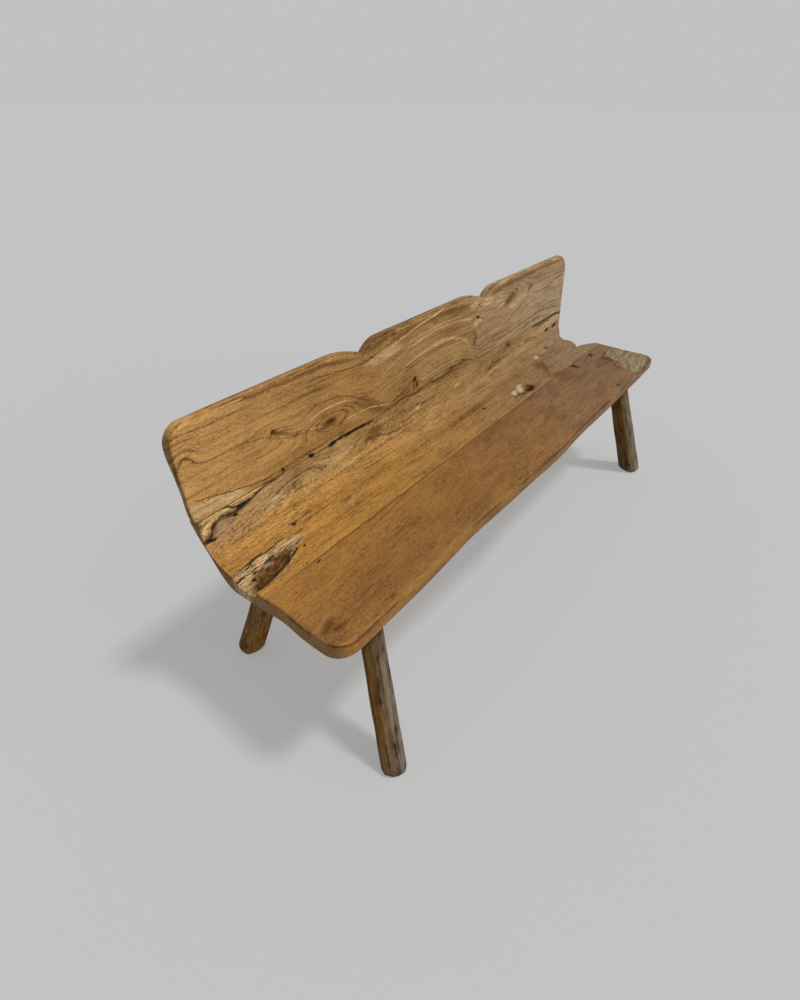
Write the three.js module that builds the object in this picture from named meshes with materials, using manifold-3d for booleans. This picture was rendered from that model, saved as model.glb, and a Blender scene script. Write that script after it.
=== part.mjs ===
// A rustic teak bench: four heavy boards, edge-joined into one scooped shell that is seat and back at once,
// on four splayed pole legs whose round tenons are wedged blind into the seat.
// Millimetres. X runs along the bench, Y from its front edge to its back, Z up from the floor.
import * as THREE from "three";
import { mergeVertices } from "three/addons/utils/BufferGeometryUtils.js";
import Module from "manifold-3d";

const wasm = await Module();
wasm.setup();

// The shell that the four boards make.
const benchLength = 1694;
const seatHeight = 422;
const seatDepth = 375; // front edge to the face of the back
const backRise = 296; // seat to the top of the back's lobes
const seatThickness = 40;
const backThickness = 30;
const bendThickness = 38; // where the seat turns up into the back
const backLean = THREE.MathUtils.degToRad(2.6);
const leftCoveRadius = 84;
const rightCoveRadius = 42;

// Its edges and corners.
const frontTopArris = 12;
const frontLowerArris = 14;
const backFaceArris = 11;
const backRearArris = 12;
const endArris = 5;
const seatCornerRadius = 46;
const leftBackCornerRadius = 42;
const rightBackCornerRadius = 62;
const frontWave = 8; // how far the front edge wanders in and out
const wornLength = 70; // the left end is worn thin and set back over this length
const leftEndSetback = 12;

// The top of the back: three lobes between two cusps.
const cuspDepth = 27;
const gentleFallLength = 125; // a lobe falls slowly towards a cusp on its right
const steepRiseLength = 60; // and the next lobe rises quickly after it
const cuspShares = [-0.184, 0.148]; // of the bench's length, from its middle

// Where the boards meet.
const frontBoardWidth = 208;
const bendJointRise = 23; // above the seat
const backJointRise = 95; // above the seat
const glueLine = 0.3;

// Dowels across the joints.
const dowelRadius = 6;
const seatDowelLength = 76;
const bendDowelLength = 44;
const bendDowelDepthShare = 0.42; // of the wood's thickness, behind the cove
const backDowelLength = 56;
const dowelClearance = 0.3;
const dowelEndRoom = 2;
const seatDowelShares = [-0.4, -0.2, 0, 0.2, 0.4];
const bendDowelShares = [-0.44, -0.27, -0.09, 0.09, 0.27, 0.44];
const backDowelShares = [-0.4, -0.2, 0, 0.2, 0.4];

// Legs: where their mortises are, how they splay and how thick they are.
const frontMortiseFromEnd = 149;
const frontMortiseFromFront = 82;
const rearMortiseFromEnd = 188;
const rearMortiseFromBackFace = 27;
const splayAlong = THREE.MathUtils.degToRad(9.2);
const splayAcross = THREE.MathUtils.degToRad(17);
const frontLeftLeg = { footRadius: 30.5, topRadius: 26 };
const frontRightLeg = { footRadius: 37, topRadius: 31 };
const rearLeftLeg = { footRadius: 33.5, topRadius: 28.5 };
const rearRightLeg = { footRadius: 34.5, topRadius: 29 };
const footRounding = 11;
const legSeatGap = 0.3;

// Their tenons, and the wedges driven into these.
const tenonRadius = 19;
const frontTenonRise = 25; // above the underside of the seat
const rearTenonRise = 30;
const mortiseClearance = 0.3;
const mortiseEndRoom = 1.5;
const wedgeLength = 20;
const wedgeWidth = 34;
const wedgeThickEnd = 6;
const wedgeThinEnd = 1.5;
const wedgeClearance = 0.3;

// A rotted hollow, open at the left end.
const hollowReach = 150;
const hollowWidth = 72;
const hollowDepth = 17;
const hollowFromFront = 266;

// A worn pocket like two shells in the seat.
const pocketFromRightEnd = 537;
const pocketFromFront = 247;
const pocketRadius = 29;
const pocketDepth = 13;
const pocketWidthShare = 0.85;
const smallPocketRadius = 24;
const smallPocketDepth = 7;
const smallPocketWidthShare = 0.65;
const pocketSpacing = 47;

// The broken end of the rear seat board, at the right.
const breakDepth = 84;
const breakWidth = 138;
const breakFromFront = 228;

// Facets, how far cuts overrun, and how much of its wall a rounded edge may take.
const arcSteps = 3;
const coveSteps = 8;
const dowelSides = 10;
const tenonSides = 16;
const bowlSides = 20;
const plainStations = 20;
const overrun = 5;
const arrisRoomShare = 0.9;
const endArrisRoomShare = 0.8;
const endInsetRoomShare = 0.35;

const { lerp, clamp, smoothstep } = THREE.MathUtils;
const halfLength = benchLength / 2;
const seatUnderside = seatHeight - seatThickness;
const bendJointHeight = seatHeight + bendJointRise;
const backJointHeight = seatHeight + backJointRise;

// Skins outlines that run anticlockwise round an axis, one further along it than the other.
// A cap lists the triangles that close the last outline.
function loft(rings, cap) {
  const count = rings[0].length;
  const last = (rings.length - 1) * count;
  const index = [];
  for (let start = 0; start < last; start += count) {
    for (let k = 0; k < count; k++) {
      const a = start + k;
      const b = start + ((k + 1) % count);
      index.push(a, b, a + count, b, b + count, a + count);
    }
  }
  for (const [a, b, c] of cap(count)) index.push(a, c, b, last + a, last + b, last + c);
  const geometry = new THREE.BufferGeometry();
  geometry.setAttribute("position", new THREE.Float32BufferAttribute(rings.flat(2), 3));
  geometry.setIndex(index);
  return geometry;
}

// A cap for round outlines, and one for outlines whose first half lies along the second half.
const fanCap = (count) => Array.from({ length: count - 2 }, (_, k) => [0, k + 1, k + 2]);
const ribbonCap = (count) =>
  Array.from({ length: count / 2 - 1 }, (_, k) => [
    [k, k + 1, count - 2 - k],
    [k, count - 2 - k, count - 1 - k],
  ]).flat();

// A closed geometry as a solid that can be cut and joined, and such a solid as a geometry.
function toSolid(geometry) {
  geometry.deleteAttribute("normal");
  geometry.deleteAttribute("uv");
  const merged = mergeVertices(geometry);
  const vertProperties = new Float32Array(merged.attributes.position.array);
  const triVerts = new Uint32Array(merged.index.array);
  return new wasm.Manifold(new wasm.Mesh({ numProp: 3, vertProperties, triVerts }));
}

function toGeometry(solid) {
  const mesh = solid.getMesh();
  const geometry = new THREE.BufferGeometry();
  geometry.setAttribute("position", new THREE.Float32BufferAttribute(mesh.vertProperties, 3));
  geometry.setIndex(new THREE.BufferAttribute(mesh.triVerts, 1));
  return geometry;
}

const cutAway = (solid, cutters) => cutters.reduce((rest, cutter) => rest.subtract(cutter), solid);

// A box between two corners, a bar round a line from its middle, and a squashed ball.
function block(low, high) {
  const size = high.map((value, k) => value - low[k]);
  const middle = low.map((value, k) => value + size[k] / 2);
  return toSolid(new THREE.BoxGeometry(...size).translate(...middle));
}

function bar(middle, direction, length, radius, sides) {
  const turn = new THREE.Quaternion().setFromUnitVectors(new THREE.Vector3(0, 1, 0), direction);
  const geometry = new THREE.CylinderGeometry(radius, radius, length, sides);
  return toSolid(geometry.applyQuaternion(turn).translate(...middle));
}

function bowl(middle, radii) {
  const geometry = new THREE.SphereGeometry(1, bowlSides, bowlSides / 2);
  return toSolid(geometry.scale(...radii).translate(...middle));
}

// How far an edge has fallen back towards a rounded corner.
function cornerFall(radius, fromEnd) {
  const run = Math.max(radius - fromEnd, 0);
  return radius - Math.sqrt(radius * radius - run * run);
}

// The front edge wanders: shares of the length from the middle, with shares of the wave.
const frontWaveShares = [
  [-0.5, 1.1],
  [-0.36, 1],
  [-0.24, 1.6],
  [-0.12, 0.75],
  [0.01, -0.25],
  [0.11, 0.3],
  [0.24, -0.1],
  [0.38, -0.2],
  [0.5, 0],
];

// At the left end, how much thickness is left and how much of the setback there is, by the share of the way
// from the front edge over the seat and up the back.
const thicknessLeftShares = [
  [0, 1],
  [0.46, 1],
  [0.58, 0.17],
  [0.69, 0.6],
  [0.84, 0.65],
  [0.92, 1],
  [1, 1],
];
const setbackShares = [
  [0, 0],
  [0.1, 0],
  [0.3, 0.8],
  [0.62, 1],
  [0.76, 0.3],
  [0.87, 0],
  [1, 0],
];

// The value of such a table at a place, eased from one entry to the next.
function lookUp(table, place) {
  const after = Math.max(table.findIndex(([end]) => place <= end), 1);
  const [fromPlace, from] = table[after - 1];
  const [toPlace, to] = table[after];
  return lerp(from, to, smoothstep(place, fromPlace, toPlace));
}

function frontEdge(x) {
  const wave = frontWave * lookUp(frontWaveShares, x / benchLength);
  return wave + cornerFall(seatCornerRadius, halfLength - Math.abs(x));
}

function backTop(x) {
  const fall = cuspShares.map((share) => {
    const along = x - share * benchLength;
    const away = along < 0 ? -along / gentleFallLength : along / steepRiseLength;
    return cuspDepth * Math.pow(1 - clamp(away, 0, 1), 2);
  });
  const cornerRadius = x < 0 ? leftBackCornerRadius : rightBackCornerRadius;
  return seatHeight + backRise - Math.max(...fall) - cornerFall(cornerRadius, halfLength - Math.abs(x));
}

// The bend between seat and back: a cove round a centre, with wood of some thickness round that.
function bendAt(x) {
  const radius = lerp(leftCoveRadius, rightCoveRadius, (x + halfLength) / benchLength);
  const endAngle = Math.PI / 2 - backLean;
  const centreY = seatDepth - (radius * (1 - Math.sin(backLean))) / Math.cos(backLean);
  const centreZ = seatHeight + radius;
  const thickness = (angle) => {
    const plain = lerp(seatThickness, backThickness, angle / endAngle);
    return lerp(plain, bendThickness, Math.pow(Math.sin((Math.PI * angle) / endAngle), 2));
  };
  const point = (angle, r) => [centreY + r * Math.sin(angle), centreZ - r * Math.cos(angle)];
  return { radius, centreY, centreZ, endAngle, thickness, point };
}

// Two arrises on one edge, limited by the thickness that they share.
function arrises(thickness, first, second) {
  const room = Math.min(1, (thickness * arrisRoomShare) / (first + second));
  return [first * room, second * room];
}

const seatStepShares = [0.35, 0.7];

// The shell's section at x, as two lines with as many points: over the seat and up the back's face,
// and the same way along the underside and the back's rear.
function linesAt(x) {
  const front = frontEdge(x);
  const bend = bendAt(x);
  const coveTop = bend.point(bend.endAngle, bend.radius);
  const rise = (backTop(x) - coveTop[1]) / Math.cos(backLean);
  // A point so far up the back's face from the cove and so far behind it.
  const onBack = (up, behind) => [
    coveTop[0] + Math.sin(backLean) * up + Math.cos(backLean) * behind,
    coveTop[1] + Math.cos(backLean) * up - Math.sin(backLean) * behind,
  ];
  const [topArris, lowerArris] = arrises(seatThickness, frontTopArris, frontLowerArris);
  const [faceArris, rearArris] = arrises(backThickness, backFaceArris, backRearArris);
  const over = [];
  const under = [];
  for (let k = 0; k <= arcSteps; k++) {
    const angle = (Math.PI / 2) * (k / arcSteps);
    const [inward, outward] = [1 - Math.cos(angle), 1 - Math.sin(angle)];
    over.push([front + topArris * inward, seatHeight - topArris * outward]);
    under.push([front + lowerArris * inward, seatUnderside + lowerArris * outward]);
  }
  for (const share of seatStepShares) {
    const y = lerp(front, bend.centreY, share);
    over.push([y, seatHeight]);
    under.push([y, seatUnderside]);
  }
  for (let k = 0; k <= coveSteps; k++) {
    const angle = bend.endAngle * (k / coveSteps);
    over.push(bend.point(angle, bend.radius));
    under.push(bend.point(angle, bend.radius + bend.thickness(angle)));
  }
  over.push(onBack(rise / 2, 0));
  under.push(onBack(rise / 2, backThickness));
  for (let k = 0; k <= arcSteps; k++) {
    const angle = (Math.PI / 2) * (k / arcSteps);
    const [inward, below] = [1 - Math.cos(angle), 1 - Math.sin(angle)];
    over.push(onBack(rise - faceArris * below, faceArris * inward));
    under.push(onBack(rise - rearArris * below, backThickness - rearArris * inward));
  }
  return { over, under };
}

const distance = (one, other) => Math.hypot(other[0] - one[0], other[1] - one[1]);

// The share of the way along a line that each of its points has come.
function runShares(line) {
  let run = 0;
  const runs = line.map((point, k) => (run += k > 0 ? distance(line[k - 1], point) : 0));
  return runs.map((value) => value / run);
}

// The outline at x, drawn in by a margin for the arris round an end, with the wear at the left end.
function ringAt(x, margin) {
  const { over, under } = linesAt(x);
  const shares = runShares(over);
  const wear = 1 - smoothstep(x, -halfLength, wornLength - halfLength);
  const pairs = over.map((top, k) => {
    const left = lerp(1, lookUp(thicknessLeftShares, shares[k]), wear);
    const bottom = [lerp(top[0], under[k][0], left), lerp(top[1], under[k][1], left)];
    const inset = Math.min(margin, distance(top, bottom) * endInsetRoomShare);
    const setX = x + leftEndSetback * lookUp(setbackShares, shares[k]) * wear;
    return { top, bottom, inset, setX };
  });
  const outline = [
    ...pairs.map((pair) => ({ ...pair, point: pair.bottom })),
    ...pairs.map((pair) => ({ ...pair, point: pair.top })).reverse(),
  ];
  return outline.map(({ point, inset, setX }, k) => {
    const before = outline.at(k - 1).point;
    const after = outline[(k + 1) % outline.length].point;
    const step = inset / distance(before, after);
    return [setX, point[0] - step * (after[1] - before[1]), point[1] + step * (after[0] - before[0])];
  });
}

// Stations along the bench: close together at the ends and round the cusps, wide apart between them.
const leastArris = Math.min(frontTopArris, frontLowerArris, backFaceArris, backRearArris);
const endRounding = Math.min(endArris, endArrisRoomShare * leastArris);
const cornerStepShares = [0.35, 0.65, 1];
const wearStepShares = [0.25, 0.6, 1];
const cuspStepShares = [0.08, 0.2, 0.4, 0.65, 1];
const nearStationShare = 1 / 3;

function stations() {
  const list = [];
  for (let k = 0; k <= arcSteps; k++) {
    const angle = (Math.PI / 2) * (k / arcSteps);
    const fromEnd = endRounding * (1 - Math.cos(angle));
    const margin = endRounding * (1 - Math.sin(angle));
    list.push({ x: fromEnd - halfLength, margin }, { x: halfLength - fromEnd, margin });
  }
  for (const share of cornerStepShares) {
    list.push({ x: seatCornerRadius * share - halfLength, margin: 0 });
    list.push({ x: halfLength - rightBackCornerRadius * share, margin: 0 });
  }
  for (const share of wearStepShares) list.push({ x: wornLength * share - halfLength, margin: 0 });
  for (const cusp of cuspShares) {
    const x = cusp * benchLength;
    list.push({ x, margin: 0 });
    for (const share of cuspStepShares) {
      list.push({ x: x - gentleFallLength * share, margin: 0 });
      list.push({ x: x + steepRiseLength * share, margin: 0 });
    }
  }
  const spacing = benchLength / plainStations;
  for (let k = 1; k < plainStations; k++) {
    const x = k * spacing - halfLength;
    const nearest = Math.min(...list.map((station) => Math.abs(station.x - x)));
    if (nearest > spacing * nearStationShare) list.push({ x, margin: 0 });
  }
  return list.sort((one, other) => one.x - other.x);
}

const shell = toSolid(loft(stations().map(({ x, margin }) => ringAt(x, margin)), ribbonCap));

// Dowels: where each one's middle is, which way it points and how long it is.
const dowels = [];
seatDowelShares.forEach((share, k) => {
  dowels.push({
    name: `seat_dowel_${k + 1}`,
    middle: [share * benchLength, frontBoardWidth, seatHeight - seatThickness / 2],
    direction: new THREE.Vector3(0, 1, 0),
    length: seatDowelLength,
  });
});
bendDowelShares.forEach((share, k) => {
  // It crosses the joint a little in front of the wood's middle, square to the bend's radius.
  const x = share * benchLength;
  const bend = bendAt(x);
  const midRadius = bend.radius + bendThickness * bendDowelDepthShare;
  const angle = Math.acos((bend.centreZ - bendJointHeight) / midRadius);
  dowels.push({
    name: `bend_dowel_${k + 1}`,
    middle: [x, ...bend.point(angle, midRadius)],
    direction: new THREE.Vector3(0, Math.cos(angle), Math.sin(angle)),
    length: bendDowelLength,
  });
});
backDowelShares.forEach((share, k) => {
  const faceY = seatDepth + Math.tan(backLean) * backJointRise;
  dowels.push({
    name: `back_dowel_${k + 1}`,
    middle: [share * benchLength, faceY + backThickness / (2 * Math.cos(backLean)), backJointHeight],
    direction: new THREE.Vector3(0, Math.sin(backLean), Math.cos(backLean)),
    length: backDowelLength,
  });
});
for (const dowel of dowels) {
  const { middle, direction, length } = dowel;
  dowel.solid = bar(middle, direction, length, dowelRadius, dowelSides);
  dowel.bore = bar(middle, direction, length + 2 * dowelEndRoom, dowelRadius + dowelClearance, dowelSides);
}

// Hand-shaved facets: shares of the radius round a leg, and how its thickness wanders up its height.
const facetShares = [1, 0.96, 1.03, 0.97, 1.01, 0.94, 1, 1.04, 0.95, 0.99, 1.03, 0.97];
const wanderShares = [
  [0.1, 1.02],
  [0.25, 0.97],
  [0.42, 1.04],
  [0.6, 0.98],
  [0.8, 1.02],
  [1, 1],
];
const footShares = [
  [0, 0.6],
  [0.4, 0.15],
  [1, 0],
];

function legAt(end, row, size) {
  const fromEnd = row < 0 ? frontMortiseFromEnd : rearMortiseFromEnd;
  const mortiseY = row < 0 ? frontMortiseFromFront : seatDepth - rearMortiseFromBackFace;
  const mortise = new THREE.Vector3(end * (halfLength - fromEnd), mortiseY, seatUnderside);
  const upwards = new THREE.Vector3(-end * Math.tan(splayAlong), -row * Math.tan(splayAcross), 1);
  const along = upwards.clone().normalize();
  const pointAt = (z) => mortise.clone().addScaledVector(upwards, z - seatUnderside);

  const firstFacet = end + row + 2;
  const ring = (z, radius) => {
    const centre = pointAt(z);
    return facetShares.map((_, k) => {
      const angle = (2 * Math.PI * k) / facetShares.length;
      const r = radius * facetShares[(k + firstFacet) % facetShares.length];
      return [centre.x + r * Math.cos(angle), centre.y + r * Math.sin(angle), z];
    });
  };
  const bodyTop = seatUnderside + seatThickness / 2;
  const rings = footShares.map(([up, inward]) => {
    return ring(footRounding * up, size.footRadius - footRounding * inward);
  });
  for (const [share, wander] of wanderShares) {
    const radius = lerp(size.footRadius, size.topRadius, share);
    rings.push(ring(bodyTop * share, radius * wander));
  }
  const body = toSolid(loft(rings, fanCap)).subtract(shell.translate([0, 0, -legSeatGap]));

  // The tenon's round bar starts inside the leg, and the mortise follows it with some room.
  const rise = row < 0 ? frontTenonRise : rearTenonRise;
  const root = pointAt(seatUnderside - size.topRadius);
  const tip = pointAt(seatUnderside + rise);
  const holeTip = tip.clone().addScaledVector(along, mortiseEndRoom);
  const middle = (end) => root.clone().add(end).divideScalar(2);
  const tenon = bar(middle(tip), along, root.distanceTo(tip), tenonRadius, tenonSides);
  const holeRadius = tenonRadius + mortiseClearance;
  const hole = bar(middle(holeTip), along, root.distanceTo(holeTip), holeRadius, tenonSides);

  // The wedge lies across the grain of the seat, flush with the tenon's end.
  const turn = new THREE.Quaternion().setFromUnitVectors(new THREE.Vector3(0, 0, 1), along);
  const wedgeRing = (z, thickness, width) =>
    [
      [-1, -1],
      [1, -1],
      [1, 1],
      [-1, 1],
    ].map(([sideX, sideY]) => [(sideX * thickness) / 2, (sideY * width) / 2, z]);
  const driven = (bottom, top) => {
    const geometry = loft([bottom, top], fanCap);
    return toSolid(geometry.applyQuaternion(turn).translate(...tip));
  };
  const wedge = driven(
    wedgeRing(-wedgeLength, wedgeThinEnd, wedgeWidth),
    wedgeRing(0, wedgeThickEnd, wedgeWidth),
  );
  const kerfWidth = 2 * tenonRadius + overrun;
  const kerf = driven(
    wedgeRing(-wedgeLength - wedgeClearance, wedgeThinEnd + 2 * wedgeClearance, kerfWidth),
    wedgeRing(wedgeClearance, wedgeThickEnd + 2 * wedgeClearance, kerfWidth),
  );
  return { solid: body.add(tenon).subtract(kerf), hole, wedge };
}

const legs = {
  front_left: legAt(-1, -1, frontLeftLeg),
  front_right: legAt(1, -1, frontRightLeg),
  rear_left: legAt(-1, 1, rearLeftLeg),
  rear_right: legAt(1, 1, rearRightLeg),
};

// What rot, wear and a break took out of the rear seat board.
const hollow = bowl(
  [-halfLength, hollowFromFront, seatHeight],
  [hollowReach, hollowWidth / 2, hollowDepth],
);
const pocketX = halfLength - pocketFromRightEnd;
const pocket = bowl(
  [pocketX, pocketFromFront, seatHeight],
  [pocketRadius, pocketRadius * pocketWidthShare, pocketDepth],
);
const smallPocket = bowl(
  [pocketX - pocketSpacing, pocketFromFront, seatHeight],
  [smallPocketRadius, smallPocketRadius * smallPocketWidthShare, smallPocketDepth],
);

// Seen from above: shares of the break's depth from the end, and of its width from the front.
const breakShares = [
  [-0.1, -0.1],
  [0.32, 0.08],
  [0.48, 0.15],
  [1, 0.25],
  [0.74, 0.36],
  [0.5, 0.49],
  [0.5, 0.76],
  [0.3, 0.92],
  [-0.1, 1.06],
];

function brokenEnd() {
  const outline = breakShares.map(([inward, across]) => {
    return new THREE.Vector2(halfLength - breakDepth * inward, breakFromFront + breakWidth * across);
  });
  const depth = seatThickness + bendJointRise + 2 * overrun;
  const geometry = new THREE.ExtrudeGeometry(new THREE.Shape(outline), { depth, bevelEnabled: false });
  return toSolid(geometry.translate(0, 0, seatUnderside - overrun));
}

// The boards are slices of the shell.
const far = benchLength;
const halfGlue = glueLine / 2;
const slice = (low, high) => shell.intersect(block([-far, ...low], [far, ...high]));
const seatJoint = frontBoardWidth;
const frontBoard = slice([-far, -far], [seatJoint - halfGlue, far]);
const rearBoard = slice([seatJoint + halfGlue, -far], [far, bendJointHeight - halfGlue]);
const lowerBack = slice([seatJoint, bendJointHeight + halfGlue], [far, backJointHeight - halfGlue]);
const upperBack = slice([seatJoint, backJointHeight + halfGlue], [far, far]);

const wood = (color, roughness) => new THREE.MeshStandardMaterial({ color, roughness, metalness: 0 });
const redTeak = wood("#8a6238", 0.6);
const orangeTeak = wood("#a37840", 0.6);
const oliveTeak = wood("#93794c", 0.62);
const goldenTeak = wood("#a17a45", 0.58);
const greyTeak = wood("#75603d", 0.72);
const dowelWood = wood("#b08a55", 0.7);
const wedgeWood = wood("#7c5a34", 0.7);

const bench = new THREE.Group();
function addPiece(name, solid, material) {
  const mesh = new THREE.Mesh(toGeometry(solid), material);
  mesh.name = name;
  bench.add(mesh);
}

const bores = dowels.map((dowel) => dowel.bore);
const mortises = Object.values(legs).map((leg) => leg.hole);
const damage = [hollow, pocket, smallPocket, brokenEnd()];
addPiece("front_seat_board", cutAway(frontBoard, [...bores, ...mortises]), redTeak);
addPiece("rear_seat_board", cutAway(rearBoard, [...bores, ...mortises, ...damage]), orangeTeak);
addPiece("lower_back_board", cutAway(lowerBack, bores), oliveTeak);
addPiece("upper_back_board", cutAway(upperBack, bores), goldenTeak);
for (const [place, leg] of Object.entries(legs)) {
  addPiece(`${place}_leg`, leg.solid, greyTeak);
  addPiece(`${place}_wedge`, leg.wedge, wedgeWood);
}
for (const dowel of dowels) addPiece(dowel.name, dowel.solid, dowelWood);

// The origin is on the floor, under the middle of the whole bench.
const box = new THREE.Box3().setFromObject(bench);
bench.position.y = -(box.min.y + box.max.y) / 2;

export default bench;
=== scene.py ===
import math

import bmesh
import bpy
import numpy as np
from mathutils import Matrix, Vector


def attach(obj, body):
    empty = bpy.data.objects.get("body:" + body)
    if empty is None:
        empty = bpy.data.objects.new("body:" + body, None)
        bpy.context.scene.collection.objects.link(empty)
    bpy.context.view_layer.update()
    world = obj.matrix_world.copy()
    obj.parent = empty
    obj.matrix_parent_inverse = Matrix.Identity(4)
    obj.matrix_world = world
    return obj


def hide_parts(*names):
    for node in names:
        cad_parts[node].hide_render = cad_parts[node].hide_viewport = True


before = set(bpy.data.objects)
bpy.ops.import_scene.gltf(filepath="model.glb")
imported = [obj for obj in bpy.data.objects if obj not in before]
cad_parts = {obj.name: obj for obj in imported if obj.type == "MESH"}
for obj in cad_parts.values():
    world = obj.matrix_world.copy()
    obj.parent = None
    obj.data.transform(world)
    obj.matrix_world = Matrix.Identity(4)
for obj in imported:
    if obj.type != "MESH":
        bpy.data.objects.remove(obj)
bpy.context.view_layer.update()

# The shell, as the CAD model has it. Distances across the bench are counted from its front edge.
LENGTH = 1694
HALF = LENGTH / 2
FRONT_TO_MIDDLE = 214.937
SEAT_HEIGHT = 422
SEAT_DEPTH = 375
BACK_RISE = 296
SEAT_THICKNESS = 40
BACK_THICKNESS = 30
BEND_THICKNESS = 38
BACK_LEAN = math.radians(2.6)
LEFT_COVE_RADIUS = 84
RIGHT_COVE_RADIUS = 42
END_ANGLE = math.pi / 2 - BACK_LEAN
FRONT_WAVE = 8
WORN_LENGTH = 70
LEFT_END_SETBACK = 12
CUSP_DEPTH = 27
GENTLE_FALL = 125
STEEP_RISE = 60
CUSPS = (-0.184 * LENGTH, 0.148 * LENGTH)
SEAT_CORNER = 46
LEFT_BACK_CORNER = 42
RIGHT_BACK_CORNER = 62

# Where the boards meet, the glue line between them, and how wide each board is as a flat plank.
SEAT_JOINT = 208
BEND_JOINT = SEAT_HEIGHT + 23
BACK_JOINT = SEAT_HEIGHT + 95
HALF_GLUE = 0.15
REAR_WIDTH = 152
LOWER_BACK_WIDTH = 80
UPPER_BACK_WIDTH = 201

# Stations count across the shell: below 0 on the seat, 0 to BEND_RUN round the cove, then up the back.
BEND_RUN = 120

# How every edge is rounded.
BEVEL = {"affect": "EDGES", "profile": 0.5, "material": -1}
# Spacing of the mesh's cuts. They are twice as close along the hollow, the pocket and the cusps.
GRID = 4.0
FINE_SPANS = ((-840, -640), (226, 346), (CUSPS[0] - 30, CUSPS[0] + 30), (CUSPS[1] - 30, CUSPS[1] + 30))
# Faces that meet at more than this keep a sharp edge between them.
SHARP = math.radians(50)
# The top edge of the back and the undersides of the boards stay this far inside the CAD boards'.
PLAY = 0.6
# The underside of the front board rises this much towards its edge.
FRONT_LIFT = 4

# Rot, a shell-like pocket and a broken end, all in the rear seat board.
HOLLOW_REACH, HOLLOW_HALF_WIDTH, HOLLOW_DEPTH, HOLLOW_FROM_FRONT = 150, 36, 17, 266
POCKET_X, POCKET_FROM_FRONT = 310, 247
BREAK_DEPTH, BREAK_WIDTH, BREAK_FROM_FRONT = 84, 138, 228

# A mark's place on the boards is x and s. s counts from the front edge, round a cove of this radius, and up
# the back.
MARK_COVE = 80
MARK_COVE_START = 300
MARK_BACK_SHIFT = 76.3

# Tables of places and values: the wave of the front edge along the bench, the worn left end's thickness and
# setback from the front edge to the top, and the outline of the broken end.
FRONT_WAVE_SHARES = (
    (-0.5, 1.1), (-0.36, 1), (-0.24, 1.6), (-0.12, 0.75), (0.01, -0.25), (0.11, 0.3), (0.24, -0.1),
    (0.38, -0.2), (0.5, 0),
)
THICKNESS_LEFT_SHARES = ((0, 1), (0.46, 1), (0.58, 0.17), (0.69, 0.6), (0.84, 0.65), (0.92, 1), (1, 1))
SETBACK_SHARES = ((0, 0), (0.1, 0), (0.3, 0.8), (0.62, 1), (0.76, 0.3), (0.87, 0), (1, 0))
BREAK_SHARES = (
    (-0.1, -0.1), (0.08, 0.32), (0.15, 0.48), (0.25, 1), (0.36, 0.74), (0.49, 0.5), (0.76, 0.5),
    (0.92, 0.3), (1.06, -0.1),
)


def lerp(low, high, share):
    return low + (high - low) * share


def ease(place, low, high):
    share = np.clip((place - low) / (high - low), 0, 1)
    return share * share * (3 - 2 * share)


def look_up(table, place):
    """The value of a table at each place, eased from one entry to the next."""
    value = np.full(np.shape(place), float(table[0][1]))
    for (from_place, low), (to_place, high) in zip(table, table[1:]):
        value = np.where(place > from_place, lerp(low, high, ease(place, from_place, to_place)), value)
    return value


def ripple(x, s, length, width, seed, waves=7):
    """A smooth random surface from about -1 to 1, with waves of some length along x and width along s."""
    draw = np.random.default_rng(seed)
    total = 0
    for _ in range(waves):
        turn_x, turn_s = draw.uniform(-1, 1) * math.tau / length, draw.uniform(-1, 1) * math.tau / width
        total = total + np.sin(turn_x * x + turn_s * s + draw.uniform(0, math.tau))
    return total / math.sqrt(waves * 2)


def bend_at(x):
    """Radius of the cove, and how far its centre is from the front edge."""
    radius = lerp(LEFT_COVE_RADIUS, RIGHT_COVE_RADIUS, (x + HALF) / LENGTH)
    return radius, SEAT_DEPTH - radius * (1 - math.sin(BACK_LEAN)) / math.cos(BACK_LEAN)


def cove_top(x):
    radius, _ = bend_at(x)
    return SEAT_HEIGHT + radius * (1 - math.cos(END_ANGLE))


def back_rise(x):
    """Up the face of the back, from the cove to its top edge, with two cusps cut into that edge."""
    fall = 0
    for cusp in CUSPS:
        away = np.where(x < cusp, (cusp - x) / GENTLE_FALL, (x - cusp) / STEEP_RISE)
        fall = np.maximum(fall, CUSP_DEPTH * (1 - np.clip(away, 0, 1)) ** 2)
    return (SEAT_HEIGHT + BACK_RISE - PLAY - fall - cove_top(x)) / math.cos(BACK_LEAN)


def run_share(x, station):
    radius, centre = bend_at(x)
    bend = radius * END_ANGLE
    run = centre + np.minimum(station, 0) + bend * np.clip(station / BEND_RUN, 0, 1)
    run = run + np.maximum(station - BEND_RUN, 0)
    return run / (centre + bend + back_rise(x))


def wear_at(x):
    return 1 - ease(x, -HALF, WORN_LENGTH - HALF)


def thickness_at(x, station):
    part = np.clip(station / BEND_RUN, 0, 1)
    plain = lerp(SEAT_THICKNESS, BACK_THICKNESS, part)
    full = lerp(plain, BEND_THICKNESS, np.sin(np.pi * part) ** 2)
    left = look_up(THICKNESS_LEFT_SHARES, run_share(x, station))
    return full * lerp(1, left, wear_at(x))


def on_shell(x, station, behind):
    """Distance from the front edge, and height, of a point so far behind the sitter's face of the shell."""
    radius, centre = bend_at(x)
    angle = END_ANGLE * np.clip(station / BEND_RUN, 0, 1)
    up = np.maximum(station - BEND_RUN, 0)
    y = centre + np.minimum(station, 0) + (radius + behind) * np.sin(angle) + math.sin(BACK_LEAN) * up
    z = SEAT_HEIGHT + radius - (radius + behind) * np.cos(angle) + math.cos(BACK_LEAN) * up
    return y, z


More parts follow.
